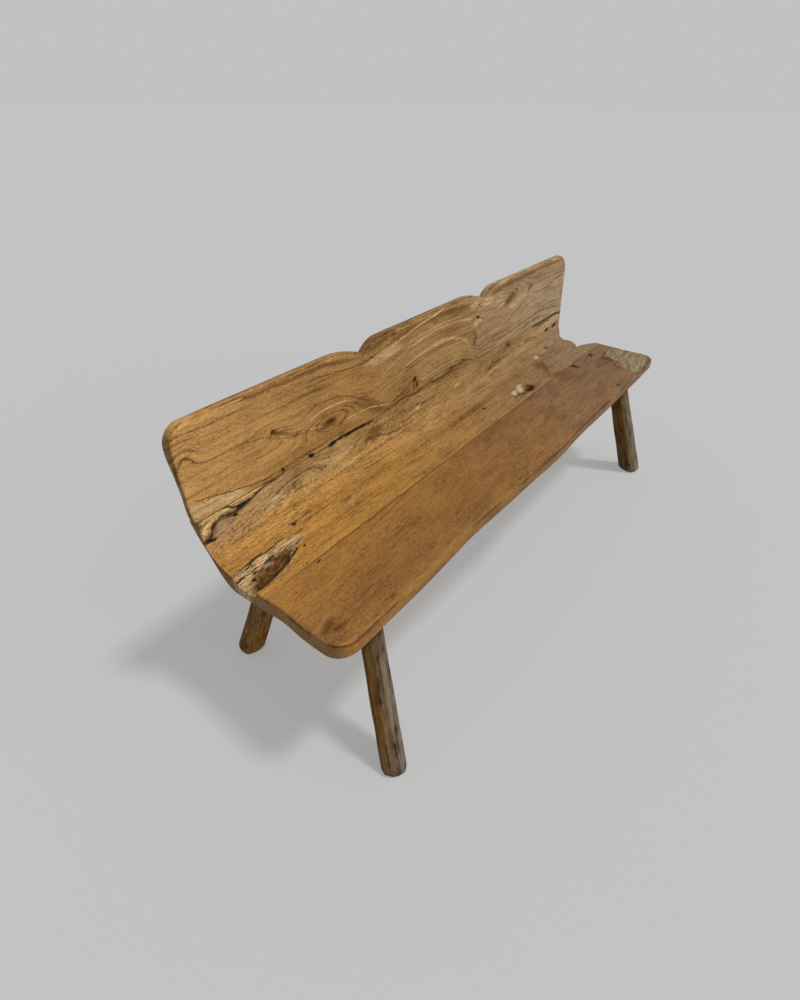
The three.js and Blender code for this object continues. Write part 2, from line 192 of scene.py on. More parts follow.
def station_at_height(x, height, share):
    """The station where the shell passes through a level, at some share of its thickness."""
    radius, _ = bend_at(x)
    station = np.full(np.shape(x), float(BEND_RUN) if height > BACK_JOINT - 1 else BEND_RUN / 2)
    for _ in range(8):
        behind = share * thickness_at(x, station)
        if height > BACK_JOINT - 1:
            up = (height - cove_top(x) + behind * math.sin(BACK_LEAN)) / math.cos(BACK_LEAN)
            station = BEND_RUN + up
        else:
            angle = np.arccos((radius + SEAT_HEIGHT - height) / (radius + behind))
            station = BEND_RUN * angle / END_ANGLE
    return station


def mark_place(y, z):
    """How far round the shell a point of its face is, as the marks are measured."""
    on_back = z - MARK_BACK_SHIFT
    turn = np.arctan2(y - MARK_COVE_START, SEAT_HEIGHT + MARK_COVE - z)
    in_cove = MARK_COVE_START + MARK_COVE * turn
    s = np.where(z > SEAT_HEIGHT + MARK_COVE, on_back, in_cove)
    return np.where(y < MARK_COVE_START, y, s)


# The lip of the loose flap at the left end of the lower back.
LIP = (
    (-850, 390), (-831, 392), (-813, 399), (-807, 409), (-796, 419), (-780, 423), (-764, 420), (-748, 416),
    (-732, 417), (-711, 421), (-690, 428), (-669, 435), (-640, 436), (-610, 446),
)
# Open cracks: half width, depth, and the points that each runs through.
CRACKS = (
    (2.6, 2.6, ((-774, 437), (-754, 431), (-740, 425), (-727, 423), (-703, 428))),
    (1.8, 1.8, ((-822, 307), (-770, 309), (-735, 307), (-685, 309))),
    (2.2, 1.8, ((-795, 285), (-772, 287), (-738, 290))),
    (2.0, 1.4, ((-742, 260), (-722, 257), (-694, 264))),
    (3.4, 3.0, ((-430, 444), (-400, 442), (-350, 440), (-295, 436))),
)


def face_relief(x, s):
    """How far the worn face stands proud of the plain shell (or lies below it, where this is negative)."""
    height = 0.5 * ripple(x, s, 260, 90, 3) - 0.5
    # The front edge is rubbed down by people's knees.
    height = height - 1.6 * (1 - ease(s, 0, 26)) * (1 + 0.5 * ripple(x, s, 160, 300, 5))
    # The rotted hollow: a steep wall in front, loose fibres behind.
    along = (x + HALF) / HOLLOW_REACH
    deepest = HOLLOW_FROM_FRONT - 16 + 16 * along**2 + 2.5 * ripple(x, s, 60, 60, 7)
    across = np.where(s < deepest, (deepest - s) / 18, (s - deepest) / (HOLLOW_HALF_WIDTH + 19))
    bowl = np.maximum(1 - along**2 - across**2, 0) ** np.where(s < deepest, 0.5, 0.75)
    strands = ripple(x, s, 90, 7, 11) + 0.8 * ripple(x, s, 34, 5, 12)
    lumps = ripple(x, s, 26, 18, 14) + 0.6 * ripple(x, s, 11, 9, 15)
    rough = np.where(s > deepest, 1.5 * strands, 1.5 * lumps)
    height = height - HOLLOW_DEPTH * bowl + rough * np.minimum(bowl * 3, 1)
    # Two worn shells side by side.
    for centre, radius, share, depth in ((POCKET_X, 29, 0.85, 13), (POCKET_X - 47, 24, 0.65, 7)):
        away = ((x - centre) / radius) ** 2 + ((s - POCKET_FROM_FRONT) / (radius * share)) ** 2
        height = height - depth * np.sqrt(np.maximum(1 - away, 0)) * (1 + 0.08 * ripple(x, s, 30, 12, 13))
    # The weathered corner at the right end has lost its surface.
    away = ((x - 790) / 115) ** 2 + ((s - 60) / 92) ** 2
    height = height - ease(1 - away, 0, 0.3) * (1.7 + 0.9 * ripple(x, s, 60, 18, 24))
    # The loose flap stands proud above its lip, and the knot below it has sunk.
    lip_x, lip_s = zip(*LIP)
    past_lip = s - np.interp(x, lip_x, lip_s) - ripple(x, x, 24, 24, 16)
    on_flap = np.exp(-np.maximum(past_lip, 0) / 9) * 3.4 * ease(past_lip, -1, 1)
    below = np.exp(-np.maximum(-past_lip, 0) / 12) * (1 - ease(past_lip, -1, 1))
    sunk = 2.6 + 3.4 * np.exp(-(((x + 785) / 38) ** 2))
    near_lip = (1 - ease(x, -690, -625)) * (s > 370)
    height = height + (on_flap - sunk * below) * near_lip
    for half_width, depth, points in CRACKS:
        crack_x, crack_s = zip(*points)
        beside = (s - np.interp(x, crack_x, crack_s) - 0.8 * ripple(x, x, 14, 14, 18)) / half_width
        ends = ease(x, crack_x[0], crack_x[0] + 10) * (1 - ease(x, crack_x[-1] - 12, crack_x[-1]))
        height = height - depth * np.exp(-(beside**2)) * ends
    # A step along the lower back where it was dressed less than the seat.
    step = ease(x, -640, -600) * (1 - ease(x, -260, -180))
    return height - 1.2 * step * ease(s, 371, 376) * (1 - ease(s, 380, 410))


def notch_at(y, share):
    """How much the broken end of the rear seat board has lost, at a distance from the front edge."""
    across, inward = zip(*BREAK_SHARES)
    lost = BREAK_DEPTH * np.interp((y - BREAK_FROM_FRONT) / BREAK_WIDTH, across, inward)
    torn = 4 * ripple(y, share * 40, 16, 22, 21) * (lost > 0)
    return np.maximum(lost + torn, 0)


def cut_square(bm, axis, places):
    """Cuts a plank square to an axis at each place, from low to high."""
    ahead = bm.faces[:]
    for place in sorted(places):
        # A dict keeps these in order. A set would shuffle them from run to run.
        parts = dict.fromkeys(ahead)
        for face in ahead:
            parts.update(dict.fromkeys((*face.edges, *face.verts)))
        point, normal = Vector((0, 0, 0)), Vector((0, 0, 0))
        point[axis], normal[axis] = place, 1
        cut = bmesh.ops.bisect_plane(bm, geom=list(parts), plane_co=point, plane_no=normal, dist=0.02)
        faces = [item for item in cut["geom"] if isinstance(item, bmesh.types.BMFace)]
        ahead = [face for face in faces if face.calc_center_median()[axis] > place]


def plank(width, thickness, corners, glued, arris, across_places):
    """A flat plank: length along x, width from y = 0, and its face at z = 0 with the wood above that. Each
    corner is an end, an edge and a radius. The edges of both faces get the arris, except at a joint."""
    bm = bmesh.new()
    bmesh.ops.create_cube(bm, size=1)
    bmesh.ops.scale(bm, vec=(LENGTH, width, thickness), verts=bm.verts)
    bmesh.ops.translate(bm, vec=(0, width / 2, thickness / 2), verts=bm.verts)
    for x_side, y_side, radius in corners:
        edges = [
            edge
            for edge in bm.edges
            if all(v.co.x * x_side > HALF - 1 and abs(v.co.y - y_side) < 1 for v in edge.verts)
        ]
        bmesh.ops.bevel(bm, geom=edges, offset=radius, segments=9, clamp_overlap=False, **BEVEL)
    outline = []
    for edge in bm.edges:
        one, other = edge.verts
        flat = abs(one.co.z - other.co.z) < 1
        on_joint = any(abs(one.co.y - y) < 0.1 and abs(other.co.y - y) < 0.1 for y in glued)
        if flat and not on_joint:
            outline.append(edge)
    bmesh.ops.bevel(bm, geom=outline, offset=arris, segments=4, clamp_overlap=False, **BEVEL)
    along_places = set(np.round(np.arange(-HALF + 10, HALF - 9, GRID), 2))
    along_places.update(CUSPS)
    for low, high in FINE_SPANS:
        along_places.update(np.round(np.arange(low, high, GRID / 2) + GRID / 4, 2))
    cut_square(bm, 0, along_places)
    cut_square(bm, 1, across_places)
    cut_square(bm, 2, [thickness * share for share in (0.35, 0.5, 0.65)])
    bmesh.ops.recalc_face_normals(bm, faces=bm.faces)
    return bm


def make_object(name, bm, place):
    """A finished piece from a bmesh. place() takes its points as arrays in millimetres, and gives where they
    go and what their places in the grain are."""
    mesh = bpy.data.meshes.new(name)
    bm.to_mesh(mesh)
    bm.free()
    flat = np.empty(len(mesh.vertices) * 3, np.float32)
    mesh.vertices.foreach_get("co", flat)
    places, marks = place(*flat.reshape(-1, 3).astype(float).T)
    mesh.vertices.foreach_set("co", (np.stack(places, 1) / 1000).astype(np.float32).ravel())
    grain = mesh.attributes.new("grain_place", "FLOAT_VECTOR", "POINT")
    grain.data.foreach_set("vector", np.stack(marks, 1).astype(np.float32).ravel())
    finished = bmesh.new()
    finished.from_mesh(mesh)
    bmesh.ops.recalc_face_normals(finished, faces=finished.faces)
    if finished.calc_volume(signed=True) < 0:
        bmesh.ops.reverse_faces(finished, faces=finished.faces)
    for face in finished.faces:
        face.smooth = True
    for edge in finished.edges:
        edge.smooth = edge.calc_face_angle(0) < SHARP
    finished.to_mesh(mesh)
    finished.free()
    piece = bpy.data.objects.new(name, mesh)
    bpy.context.scene.collection.objects.link(piece)
    return piece


def board(name, width, thickness, corners, glued, arris, start, end, fine=(), broken=False):
    """One board of the shell, in place of the CAD's board of that name. start and end give the stations of
    its two long edges, glued the edges that are glued to a neighbour, fine the rows where its mesh is twice
    as close, and broken says whether its right end is broken off."""
    rows = set(np.round(np.linspace(0, width, int(width / GRID) + 1)[1:-1], 2))
    for low, high in fine:
        rows.update(np.round(np.arange(low, high, GRID / 2) + GRID / 4, 2))
    for joint in glued:
        rows.add(round(joint + (1.4 if joint < 1 else -1.4), 2))
    bm = plank(width, thickness, corners, glued, arris, rows)

    def place(x, y, z):
        share = z / thickness
        station = lerp(start(x, share), end(x, share), y / width)
        face_y, face_z = on_shell(x, station, 0)
        s = mark_place(face_y, face_z)
        relief = face_relief(x, s)
        # The face is level at a glued edge, with a fine groove along the joint.
        for joint in glued:
            relief = relief * ease(abs(y - joint), 0, 6)
            relief = relief - 1.0 * (1 - ease(abs(y - joint), 0, 1.6))
        full = thickness_at(x, station)
        # The underside is planed by hand.
        under = full - PLAY - 0.5 * ripple(x, s, 140, 110, 17)
        under = under - FRONT_LIFT * (1 - ease(s, 0, 34)) * (s < 100)
        behind = lerp(-relief, np.maximum(under, full * 0.5), share)
        on_y, on_z = on_shell(x, station, behind)
        # The left end is worn back, and both ends are a little rough.
        wear = wear_at(x)
        worn = LEFT_END_SETBACK * look_up(SETBACK_SHARES, run_share(x, station)) * wear
        rough = 0.8 + 0.8 * ripple(s, z, 70, 60, 23)
        on_x = x + worn + np.clip(rough, 0, 3) * (wear - ease(x, HALF - 60, HALF))
        if broken:
            on_x = on_x - notch_at(face_y, share) * ease(x, HALF - 230, HALF)
        return (on_x, on_y - FRONT_TO_MIDDLE, on_z), (on_x, s, behind)

    piece = make_object(name + "_planed", bm, place)
    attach(piece, "root")
    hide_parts(name)
    return piece


def front_wave(x):
    return FRONT_WAVE * look_up(FRONT_WAVE_SHARES, x / LENGTH)


LEFT, RIGHT = -1, 1
front_board = board(
    "front_seat_board",
    width=SEAT_JOINT, thickness=SEAT_THICKNESS, corners=((LEFT, 0, SEAT_CORNER), (RIGHT, 0, SEAT_CORNER)),
    glued=(SEAT_JOINT,), arris=7,
    start=lambda x, share: front_wave(x) - bend_at(x)[1],
    end=lambda x, share: SEAT_JOINT - HALF_GLUE - bend_at(x)[1],
)
rear_board = board(
    "rear_seat_board",
    width=REAR_WIDTH, thickness=SEAT_THICKNESS, corners=(), glued=(0, REAR_WIDTH), arris=4,
    start=lambda x, share: SEAT_JOINT + HALF_GLUE - bend_at(x)[1],
    end=lambda x, share: station_at_height(x, BEND_JOINT - HALF_GLUE, share),
    fine=((20, 96),), broken=True,
)
lower_back = board(
    "lower_back_board",
    width=LOWER_BACK_WIDTH, thickness=BEND_THICKNESS, corners=(), glued=(0, LOWER_BACK_WIDTH), arris=4,
    start=lambda x, share: station_at_height(x, BEND_JOINT + HALF_GLUE, share),
    end=lambda x, share: station_at_height(x, BACK_JOINT - HALF_GLUE, share),
    fine=((4, 76),),
)
upper_back = board(
    "upper_back_board",
    width=UPPER_BACK_WIDTH, thickness=BACK_THICKNESS,
    corners=((LEFT, UPPER_BACK_WIDTH, LEFT_BACK_CORNER), (RIGHT, UPPER_BACK_WIDTH, RIGHT_BACK_CORNER)),
    glued=(0,), arris=10,
    start=lambda x, share: station_at_height(x, BACK_JOINT + HALF_GLUE, share),
    end=lambda x, share: BEND_RUN + back_rise(x),
)

# Legs, as the CAD model has them: mortises, splay, and facets left by the drawknife.
MORTISE_FROM_END = {"front": 149, "rear": 188}
MORTISE_FROM_FRONT = {"front": 82, "rear": SEAT_DEPTH - 27}
TENON_RISE = {"front": 25, "rear": 30}
TENON_RADIUS = 19
SEAT_UNDERSIDE = SEAT_HEIGHT - SEAT_THICKNESS
SPLAY_ALONG = math.tan(math.radians(9.2))
SPLAY_ACROSS = math.tan(math.radians(17))
FACET_SHARES = (1.05, 0.95, 0.98, 1.04, 0.96, 0.94, 1.05, 0.97, 0.95, 1.04, 0.96, 0.97)
WANDER_SHARES = ((0, 1), (0.1, 1.01), (0.25, 0.985), (0.42, 1.02), (0.6, 0.99), (0.8, 1.01), (1, 1))
POLE_LENGTH = SEAT_UNDERSIDE + 20
FOOT_ROUNDING = 11
FOOT_TUCK = 7
SHOULDER_PLAY = 0.3
# Which leg, and its radius at the foot and at the top.
LEG_PLACES = (
    ("front", "left", 30.5, 26),
    ("front", "right", 37, 31),
    ("rear", "left", 33.5, 28.5),
    ("rear", "right", 34.5, 29),
)


def underside_at(x, y):
    """Height of the shell's underside over a place on the floor."""
    radius, centre = bend_at(x)
    height = np.full(np.shape(x), float(SEAT_UNDERSIDE))
    for _ in range(6):
        turn = np.arctan2(np.maximum(y - centre, 0), SEAT_HEIGHT + radius - height)
        outer = radius + thickness_at(x, BEND_RUN * np.clip(turn / END_ANGLE, 0, 1))
        bent = SEAT_HEIGHT + radius - np.sqrt(np.maximum(outer**2 - (y - centre) ** 2, 1))
        height = np.where(y > centre, bent, SEAT_UNDERSIDE)
    return height


def pole_leg(row, side, foot_radius, top_radius):
    """A shaved pole: facets up its length, a rounded foot, and a round tenon above its shoulder."""
    end, toward = (-1 if side == "left" else 1), (-1 if row == "front" else 1)
    mortise_x = end * (HALF - MORTISE_FROM_END[row])
    mortise_y = MORTISE_FROM_FRONT[row]
    # Each leg has the facets, and the hewn waves, turned another way.
    first = end + toward + 2
    shares = np.roll(FACET_SHARES, -first)
    bm = bmesh.new()
    bmesh.ops.create_circle(bm, cap_ends=True, segments=len(shares), radius=1)
    for vert in bm.verts:
        facet = round(math.atan2(vert.co.y, vert.co.x) / math.tau * len(shares)) % len(shares)
        vert.co *= shares[facet]
    pole = bmesh.ops.extrude_face_region(bm, geom=bm.faces[:])
    top = [item for item in pole["geom"] if isinstance(item, bmesh.types.BMVert)]
    bmesh.ops.translate(bm, vec=(0, 0, 1), verts=top)
    arrises = [edge for edge in bm.edges if abs(edge.verts[0].co.z - edge.verts[1].co.z) > 0.5]
    bmesh.ops.bevel(bm, geom=arrises, offset=0.05, segments=2, clamp_overlap=True, **BEVEL)
    cut_square(bm, 2, [*np.linspace(0, 0.036, 7)[1:], *np.linspace(0.06, 0.99, 44)])
    cap = max(bm.faces, key=lambda face: face.calc_center_median().z)
    bmesh.ops.inset_region(bm, faces=[cap], thickness=0.25)
    tenon = bmesh.ops.extrude_face_region(bm, geom=[cap])
    bmesh.ops.delete(bm, geom=[cap], context="FACES_ONLY")
    top = [item for item in tenon["geom"] if isinstance(item, bmesh.types.BMVert)]
    bmesh.ops.translate(bm, vec=(0, 0, 1), verts=top)

    def place(x, y, z):
        share = np.minimum(z, 1)
        level = share * SEAT_UNDERSIDE
        wander = look_up(WANDER_SHARES, level / POLE_LENGTH)
        radius = lerp(foot_radius, top_radius, level / POLE_LENGTH) * wander
        rounding = np.clip(1 - level / FOOT_ROUNDING, 0, 1)
        radius = radius - FOOT_TUCK * (1 - np.sqrt(np.maximum(1 - rounding**2, 0)))
        turn = np.arctan2(y, x)
        hewn = ripple(level, turn * 30, 120, 40, 31 + first)
        hewn = hewn + 0.5 * ripple(level, turn * 30, 34, 30, 41 + first)
        radius = radius - 0.3 * (1 + hewn) * (share < 1)
        distance = np.hypot(x, y)
        in_tenon = (z > 1.5) | ((distance < 0.86) & (z > 0.999))
        radius = np.where(in_tenon, TENON_RADIUS / np.maximum(distance, 0.01), radius)

        def leaned(height):
            to_seat = height - SEAT_UNDERSIDE
            on_x = mortise_x - end * SPLAY_ALONG * to_seat + radius * x
            return on_x, mortise_y - toward * SPLAY_ACROSS * to_seat + radius * y

        # The shoulder of the pole is cut to the underside of the seat.
        shoulder = np.full(np.shape(x), float(SEAT_UNDERSIDE))
        for _ in range(8):
            shoulder = underside_at(*leaned(shoulder)) - SHOULDER_PLAY
        height = np.where(z > 1.5, SEAT_UNDERSIDE + TENON_RISE[row], share * shoulder)
        on_x, on_y = leaned(height)
        marks = (height, turn * foot_radius + 200 * first, distance)
        return (on_x, on_y - FRONT_TO_MIDDLE, height), marks

    piece = make_object(f"{row}_{side}_leg_shaved", bm, place)
    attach(piece, "root")
    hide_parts(f"{row}_{side}_leg")
    return piece


legs = [pole_leg(*place) for place in LEG_PLACES]


# Materials. Boards and legs carry grain_place: millimetres along the grain, across it and into the wood.
def linear(hex_colour):
    """An sRGB hex colour as linear RGBA."""
    values = [int(hex_colour[k : k + 2], 16) / 255 for k in (1, 3, 5)]
    return [v / 12.92 if v <= 0.04045 else ((v + 0.055) / 1.055) ** 2.4 for v in values] + [1]


def add(tree, kind, inputs=(), take=0, stops=(), points=(), **settings):
    """Adds a node with its settings, its inputs by name or in order, and its colour stops or curve points.
    Gives one of its outputs, or all."""
    node = tree.nodes.new("ShaderNode" + kind)
    for setting, value in settings.items():
        setattr(node, setting, value)
    for place, value in inputs.items() if isinstance(inputs, dict) else enumerate(inputs):
        if isinstance(value, bpy.types.NodeSocket):
            tree.links.new(value, node.inputs[place])
        else:
            node.inputs[place].default_value = value
    if stops:
        elements = node.color_ramp.elements
        while len(elements) < len(stops):
            elements.new(1)
        for element, (place, colour) in zip(elements, stops):
            element.position = place
            element.color = linear(colour) if isinstance(colour, str) else (colour, colour, colour, 1)
    if points:
        curve = node.mapping.curves[0]
        while len(curve.points) < len(points):
            curve.points.new(1, 1)
        for point, location in zip(curve.points, points):
            point.location = location
            point.handle_type = "VECTOR"
        node.mapping.update()
    if take == "all":
        return node.outputs
    return node.outputs[take] if len(node.outputs) else None


def new_material(name):
    material = bpy.data.materials.new(name)
    material.use_nodes = True
    material.node_tree.nodes.clear()
    return material, material.node_tree


def grain_noise(tree, place, length, width, detail=3, turn=0, shift=0, roughness=0.6):
    """Noise drawn out along the grain, in patches about so long and so wide."""
    settings = {
        "Vector": place,
        "Location": (shift * length, shift * width, 0),
        "Rotation": (0, 0, math.radians(turn)),
        "Scale": (length, width, width),
    }
    mapped = add(tree, "Mapping", settings, vector_type="TEXTURE")
    return add(tree, "TexNoise", {"Vector": mapped, "Scale": 1, "Detail": detail, "Roughness": roughness})


# Patches and figures reach this far into the wood.
PATCH_DEPTH = 60


def patch(tree, place, x, s, half_length, half_width, turn=0, softness=0.3):
    """A patch, 1 inside and 0 outside: a knot, a hole, a stain."""
    settings = {
        "Vector": place,
        "Location": (x, s, 0),
        "Rotation": (0, 0, math.radians(turn)),
        "Scale": (half_length, half_width, PATCH_DEPTH),
    }
    mapped = add(tree, "Mapping", settings, vector_type="TEXTURE")
    away = add(tree, "VectorMath", (mapped,), take="Value", operation="LENGTH")
    fade = {"Value": away, "From Min": 1 - softness, "From Max": 1 + softness, "To Min": 1, "To Max": 0}
    return add(tree, "MapRange", fade, interpolation_type="SMOOTHSTEP")


def line(tree, place, half_width, *points):
    """A line along the grain through some points, 1 on it and 0 beside it: a crack, a joint, an edge."""
    along, across, _ = add(tree, "SeparateXYZ", (place,), take="all")
    xs, ss = zip(*points)
    low, high = min(ss) - 1, max(ss) + 1
    share = add(tree, "MapRange", {"Value": along, "From Min": xs[0], "From Max": xs[-1]})
    shares = [((x - xs[0]) / (xs[-1] - xs[0]), (s - low) / (high - low)) for x, s in points]
    curve = add(tree, "FloatCurve", {"Value": share}, points=shares)
    middle = add(tree, "MapRange", {"Value": curve, "To Min": low, "To Max": high})
    beside = add(tree, "Math", (across, middle), operation="SUBTRACT")
    away = add(tree, "Math", (beside,), operation="ABSOLUTE")
    ends = add(tree, "Math", (share, 0.5), operation="PINGPONG")
    width = add(tree, "MapRange", {"Value": ends, "From Max": 0.12, "To Min": 0.001, "To Max": half_width})
    inside = add(tree, "MapRange", {"Value": ends, "From Max": 0.01})
    fade = {"Value": away, "From Min": 0, "From Max": width, "To Min": 1, "To Max": 0}
    on_line = add(tree, "MapRange", fade, interpolation_type="SMOOTHSTEP")
    return add(tree, "Math", (on_line, inside), operation="MULTIPLY")


def strongest(tree, masks):
    total = masks[0]
    for mask in masks[1:]:
        total = add(tree, "Math", (total, mask), operation="MAXIMUM")
    return total


def weigh(tree, total, parts, middle=0):
    """A value with patterns added to it, each counted from its middle and by its own amount."""
    for pattern, amount in parts:
        if middle:
            pattern = add(tree, "Math", (pattern, middle), operation="SUBTRACT")
        total = add(tree, "Math", (pattern, amount, total), operation="MULTIPLY_ADD")
    return total


def blend(tree, under, colour, mask, how="MIX"):
    """A colour laid over another through a mask. A Mix node's colours go in at 6 and 7 and come out at 2."""
    return add(tree, "Mix", {0: mask, 6: under, 7: colour}, take=2, data_type="RGBA", blend_type=how)


def wood_surface(tree, colour, roughness, height, sheen=0.2):
    """Wood that was oiled and rubbed, or left dry with less sheen, with the height in millimetres."""
    normal = add(tree, "Bump", {"Height": height, "Distance": 0.001, "Strength": 1.0})
    settings = {"Base Color": colour, "Roughness": roughness, "Normal": normal, "IOR": 1.45, "Metallic": 0}
    settings["Specular IOR Level"] = sheen
    surface = add(tree, "BsdfPrincipled", settings)
    add(tree, "OutputMaterial", {"Surface": surface})


# What the marks on the boards are coloured: stains tint the wood and leave its grain, covers hide it. Marks
# that are worn through break up into shreds.
STAINS = {
    "dull": "#b19268", "rubbed": "#9b6e38", "stain": "#8a6034", "gold": "#c8924a", "pale": "#e0bc84",
    "rust": "#ab6722", "olive": "#c6a06a", "honey": "#c09a60", "arc": "#e0bc84", "straw": "#e9c588",
    # The darkest stain is painted shadow: under the loose flap's lip and in the hollows of the worn shells.
    "vein": "#6f4720", "painted_shadow": "#4d2f0e",
}
WORN_THROUGH = ("stain", "gold", "pale", "rust")
COVERS = {"shell": "#b9a27c", "seam": "#5f4220", "crack": "#4b3016", "knot": "#4a2f12", "hole": "#1a0f06"}
SEAM_HALF_WIDTH = 1.5


def lay_marks(tree, colour, tones, place, ragged, front, marks):
    """Lays the marks of a board's face over its colour, kind by kind. Gives the colour, and a mask of the
    last kind. A seam is straight, and every other mark has a ragged edge."""
    mask = None
    breaking = grain_noise(tree, place, 34, 5, detail=5, shift=3, roughness=0.7)
    for kind, tone in tones.items():
        masks = []
        for mark in marks.get(kind, ()):
            if isinstance(mark[1], tuple):
                masks.append(line(tree, place if kind == "seam" else ragged, *mark))
            else:
                masks.append(patch(tree, ragged, *mark))
        if not masks:
            continue
        mask = strongest(tree, masks)
        if kind in WORN_THROUGH:
            broken = add(tree, "Math", (breaking, 2.4, -1.5), operation="MULTIPLY_ADD")
            broken = add(tree, "Math", (mask, 1.5, broken), operation="MULTIPLY_ADD")
            mask = add(tree, "MapRange", {"Value": broken, "To Max": 0.9})
        mask = add(tree, "Math", (mask, front), operation="MULTIPLY")
        colour = blend(tree, colour, linear(tone), mask)
    return colour, mask


# The darkness of a growth ring from one late wood to the next, and the tones of rotten wood.
RING_STOPS = ((0, 1.0), (0.07, 0.55), (0.25, 0.2), (0.6, 0.0), (0.85, 0.1), (0.96, 0.5), (1, 1.0))
ROT_TONES = ((0.37, "#5a3a1c"), (0.44, "#a0774a"), (0.5, "#c9a472"), (0.58, "#e6cda4"))


def weathered_fibres(tree, place, tones):
    """Rotten or torn wood: pale loose fibres, dark splits between them. Gives its colour and its height."""
    strand = grain_noise(tree, place, 60, 2.6, detail=5, shift=11, roughness=0.75)
    split_open = grain_noise(tree, place, 46, 3.0, detail=4, turn=4, shift=12)
    lump = grain_noise(tree, place, 16, 9, detail=4, shift=13, roughness=0.75)
    mixed = add(tree, "Math", (strand, 0.65), operation="MULTIPLY")
    mixed = add(tree, "Math", (lump, 0.35, mixed), operation="MULTIPLY_ADD")
    colour = add(tree, "ValToRGB", {"Fac": mixed}, stops=tones)
    gap = add(tree, "MapRange", {"Value": split_open, "From Min": 0.59, "From Max": 0.65})
    colour = blend(tree, colour, linear("#22150b"), gap)
    height = add(tree, "Math", (gap, -0.4, mixed), operation="MULTIPLY_ADD")
    return colour, add(tree, "Math", (height, 6.0), operation="MULTIPLY")


def teak_board(
    name, tones, dark, spacing, figures, marks, rings, bands, streaks, pores, specks, rotten,
    turn=0, warp=0.35, rot_tones=ROT_TONES,
):
    """A board of oiled teak, planed and then worn: growth rings that flow round its knots, darker fibres
    along the grain, and open pores as short dark dashes. spacing is from ring to ring."""
    material, tree = new_material(name)
    place = add(tree, "Attribute", take="Vector", attribute_name="grain_place")
    uneven = {"Vector": place, "Scale": 0.08, "Detail": 5, "Roughness": 0.7}
    wobble = add(tree, "TexNoise", uneven, take="Color")
    jitter = add(tree, "VectorMath", (wobble, (0.5, 0.5, 0.5)), operation="SUBTRACT")
    ragged = add(tree, "VectorMath", (jitter, (24, 10, 0), place), operation="MULTIPLY_ADD")
    along, _, into = add(tree, "SeparateXYZ", (place,), take="all")
    facing = add(tree, "NewGeometry", take="Normal")
    front = add(tree, "VectorMath", (facing, (0, -0.5, 0.87)), take="Value", operation="DOT_PRODUCT")
    front = add(tree, "MapRange", {"Value": front, "From Min": -0.1, "From Max": 0.1})

    # Growth rings: how many have been crossed, counted across the board and into it.
    per_ring = (0, 1 / spacing, 0.6 / spacing)
    count = add(tree, "VectorMath", (place, per_ring), take="Value", operation="DOT_PRODUCT")
    swells = []
    for x, s, half_length, half_width, angle, added in figures:
        settings = {
            "Vector": place,
            "Location": (x, s, 0),
            "Rotation": (0, 0, math.radians(angle)),
            "Scale": (half_length, half_width, PATCH_DEPTH),
        }
        mapped = add(tree, "Mapping", settings, vector_type="TEXTURE")
        away = add(tree, "VectorMath", (mapped, mapped), take="Value", operation="DOT_PRODUCT")
        swell = add(tree, "Math", (math.exp(-1), away), operation="POWER")
        count = add(tree, "Math", (swell, added, count), operation="MULTIPLY_ADD")
        # Strong figures show all their rings.
        if added < -1.2:
            swells.append(swell)
    for length, width, amount in ((260, 50, 1.8), (70, 16, 0.7), (18, 6, 0.4)):
        sway = grain_noise(tree, place, length, width, detail=2, turn=turn, shift=1)
        count = add(tree, "Math", (sway, amount * warp * 2, count), operation="MULTIPLY_ADD")
    ring = add(tree, "Math", (count,), operation="FRACT")
    ring = add(tree, "ValToRGB", {"Fac": ring}, stops=RING_STOPS)
    ring_strength = grain_noise(tree, place, 300, 26, shift=5)
    clearer = {"Value": ring_strength, "From Min": 0.48, "From Max": 0.68, "To Min": 0.08}
    ring_strength = add(tree, "MapRange", clearer)
    if swells:
        figured = add(tree, "Math", (strongest(tree, swells), 1.1), operation="MULTIPLY")
        ring_strength = add(tree, "Math", (ring_strength, figured), operation="MAXIMUM")
    ring = add(tree, "Math", (ring, ring_strength), operation="MULTIPLY")

    # Wood flows with the rings: bands from ring to ring, then fibres and thin dark veins.
    drift = add(tree, "Math", (along, 1 / 700), operation="MULTIPLY")
    crossed = add(tree, "CombineXYZ", (drift, count))
    band = add(tree, "TexNoise", {"Vector": crossed, "Scale": 0.8, "Detail": 5, "Roughness": 0.72})
    along_rings = add(tree, "Math", (count, spacing), operation="MULTIPLY")
    flow = add(tree, "CombineXYZ", (along, along_rings, into))
    fibre = grain_noise(tree, flow, 110, 4.5, detail=4, shift=2, roughness=0.75)
    thread = grain_noise(tree, flow, 46, 1.8, detail=3, shift=6, roughness=0.85)
    vein = grain_noise(tree, flow, 170, 15, detail=4, turn=turn, shift=10)
    vein = add(tree, "Math", (vein, 0.5), operation="SUBTRACT")
    vein = add(tree, "Math", (vein,), operation="ABSOLUTE")
    vein = add(tree, "MapRange", {"Value": vein, "From Max": 0.022, "To Min": 1, "To Max": 0})
    pore = grain_noise(tree, flow, 10, 2, detail=2, shift=9)
    pore = add(tree, "MapRange", {"Value": pore, "From Min": 0.56, "From Max": 0.65})
    speck = grain_noise(tree, place, 34, 2.4, detail=3, turn=turn, shift=14, roughness=0.9)
    nap = grain_noise(tree, place, 8, 3.4, detail=2, turn=turn, shift=15, roughness=0.9)
    cloud = grain_noise(tree, place, 110, 40, detail=5, turn=turn, shift=7)
    darkness = weigh(tree, 0.3, ((ring, rings), (vein, streaks * 0.6)))
    mixture = ((band, bands * 1.3), (fibre, streaks * 1.8), (thread, streaks * 1.8))
    mixture = (*mixture, (speck, specks * 1.45), (nap, specks * 1.4), (cloud, 0.9))
    darkness = weigh(tree, darkness, mixture, middle=0.5)
    darkness = add(tree, "Math", (pore, pores, darkness), operation="MULTIPLY_ADD", use_clamp=True)

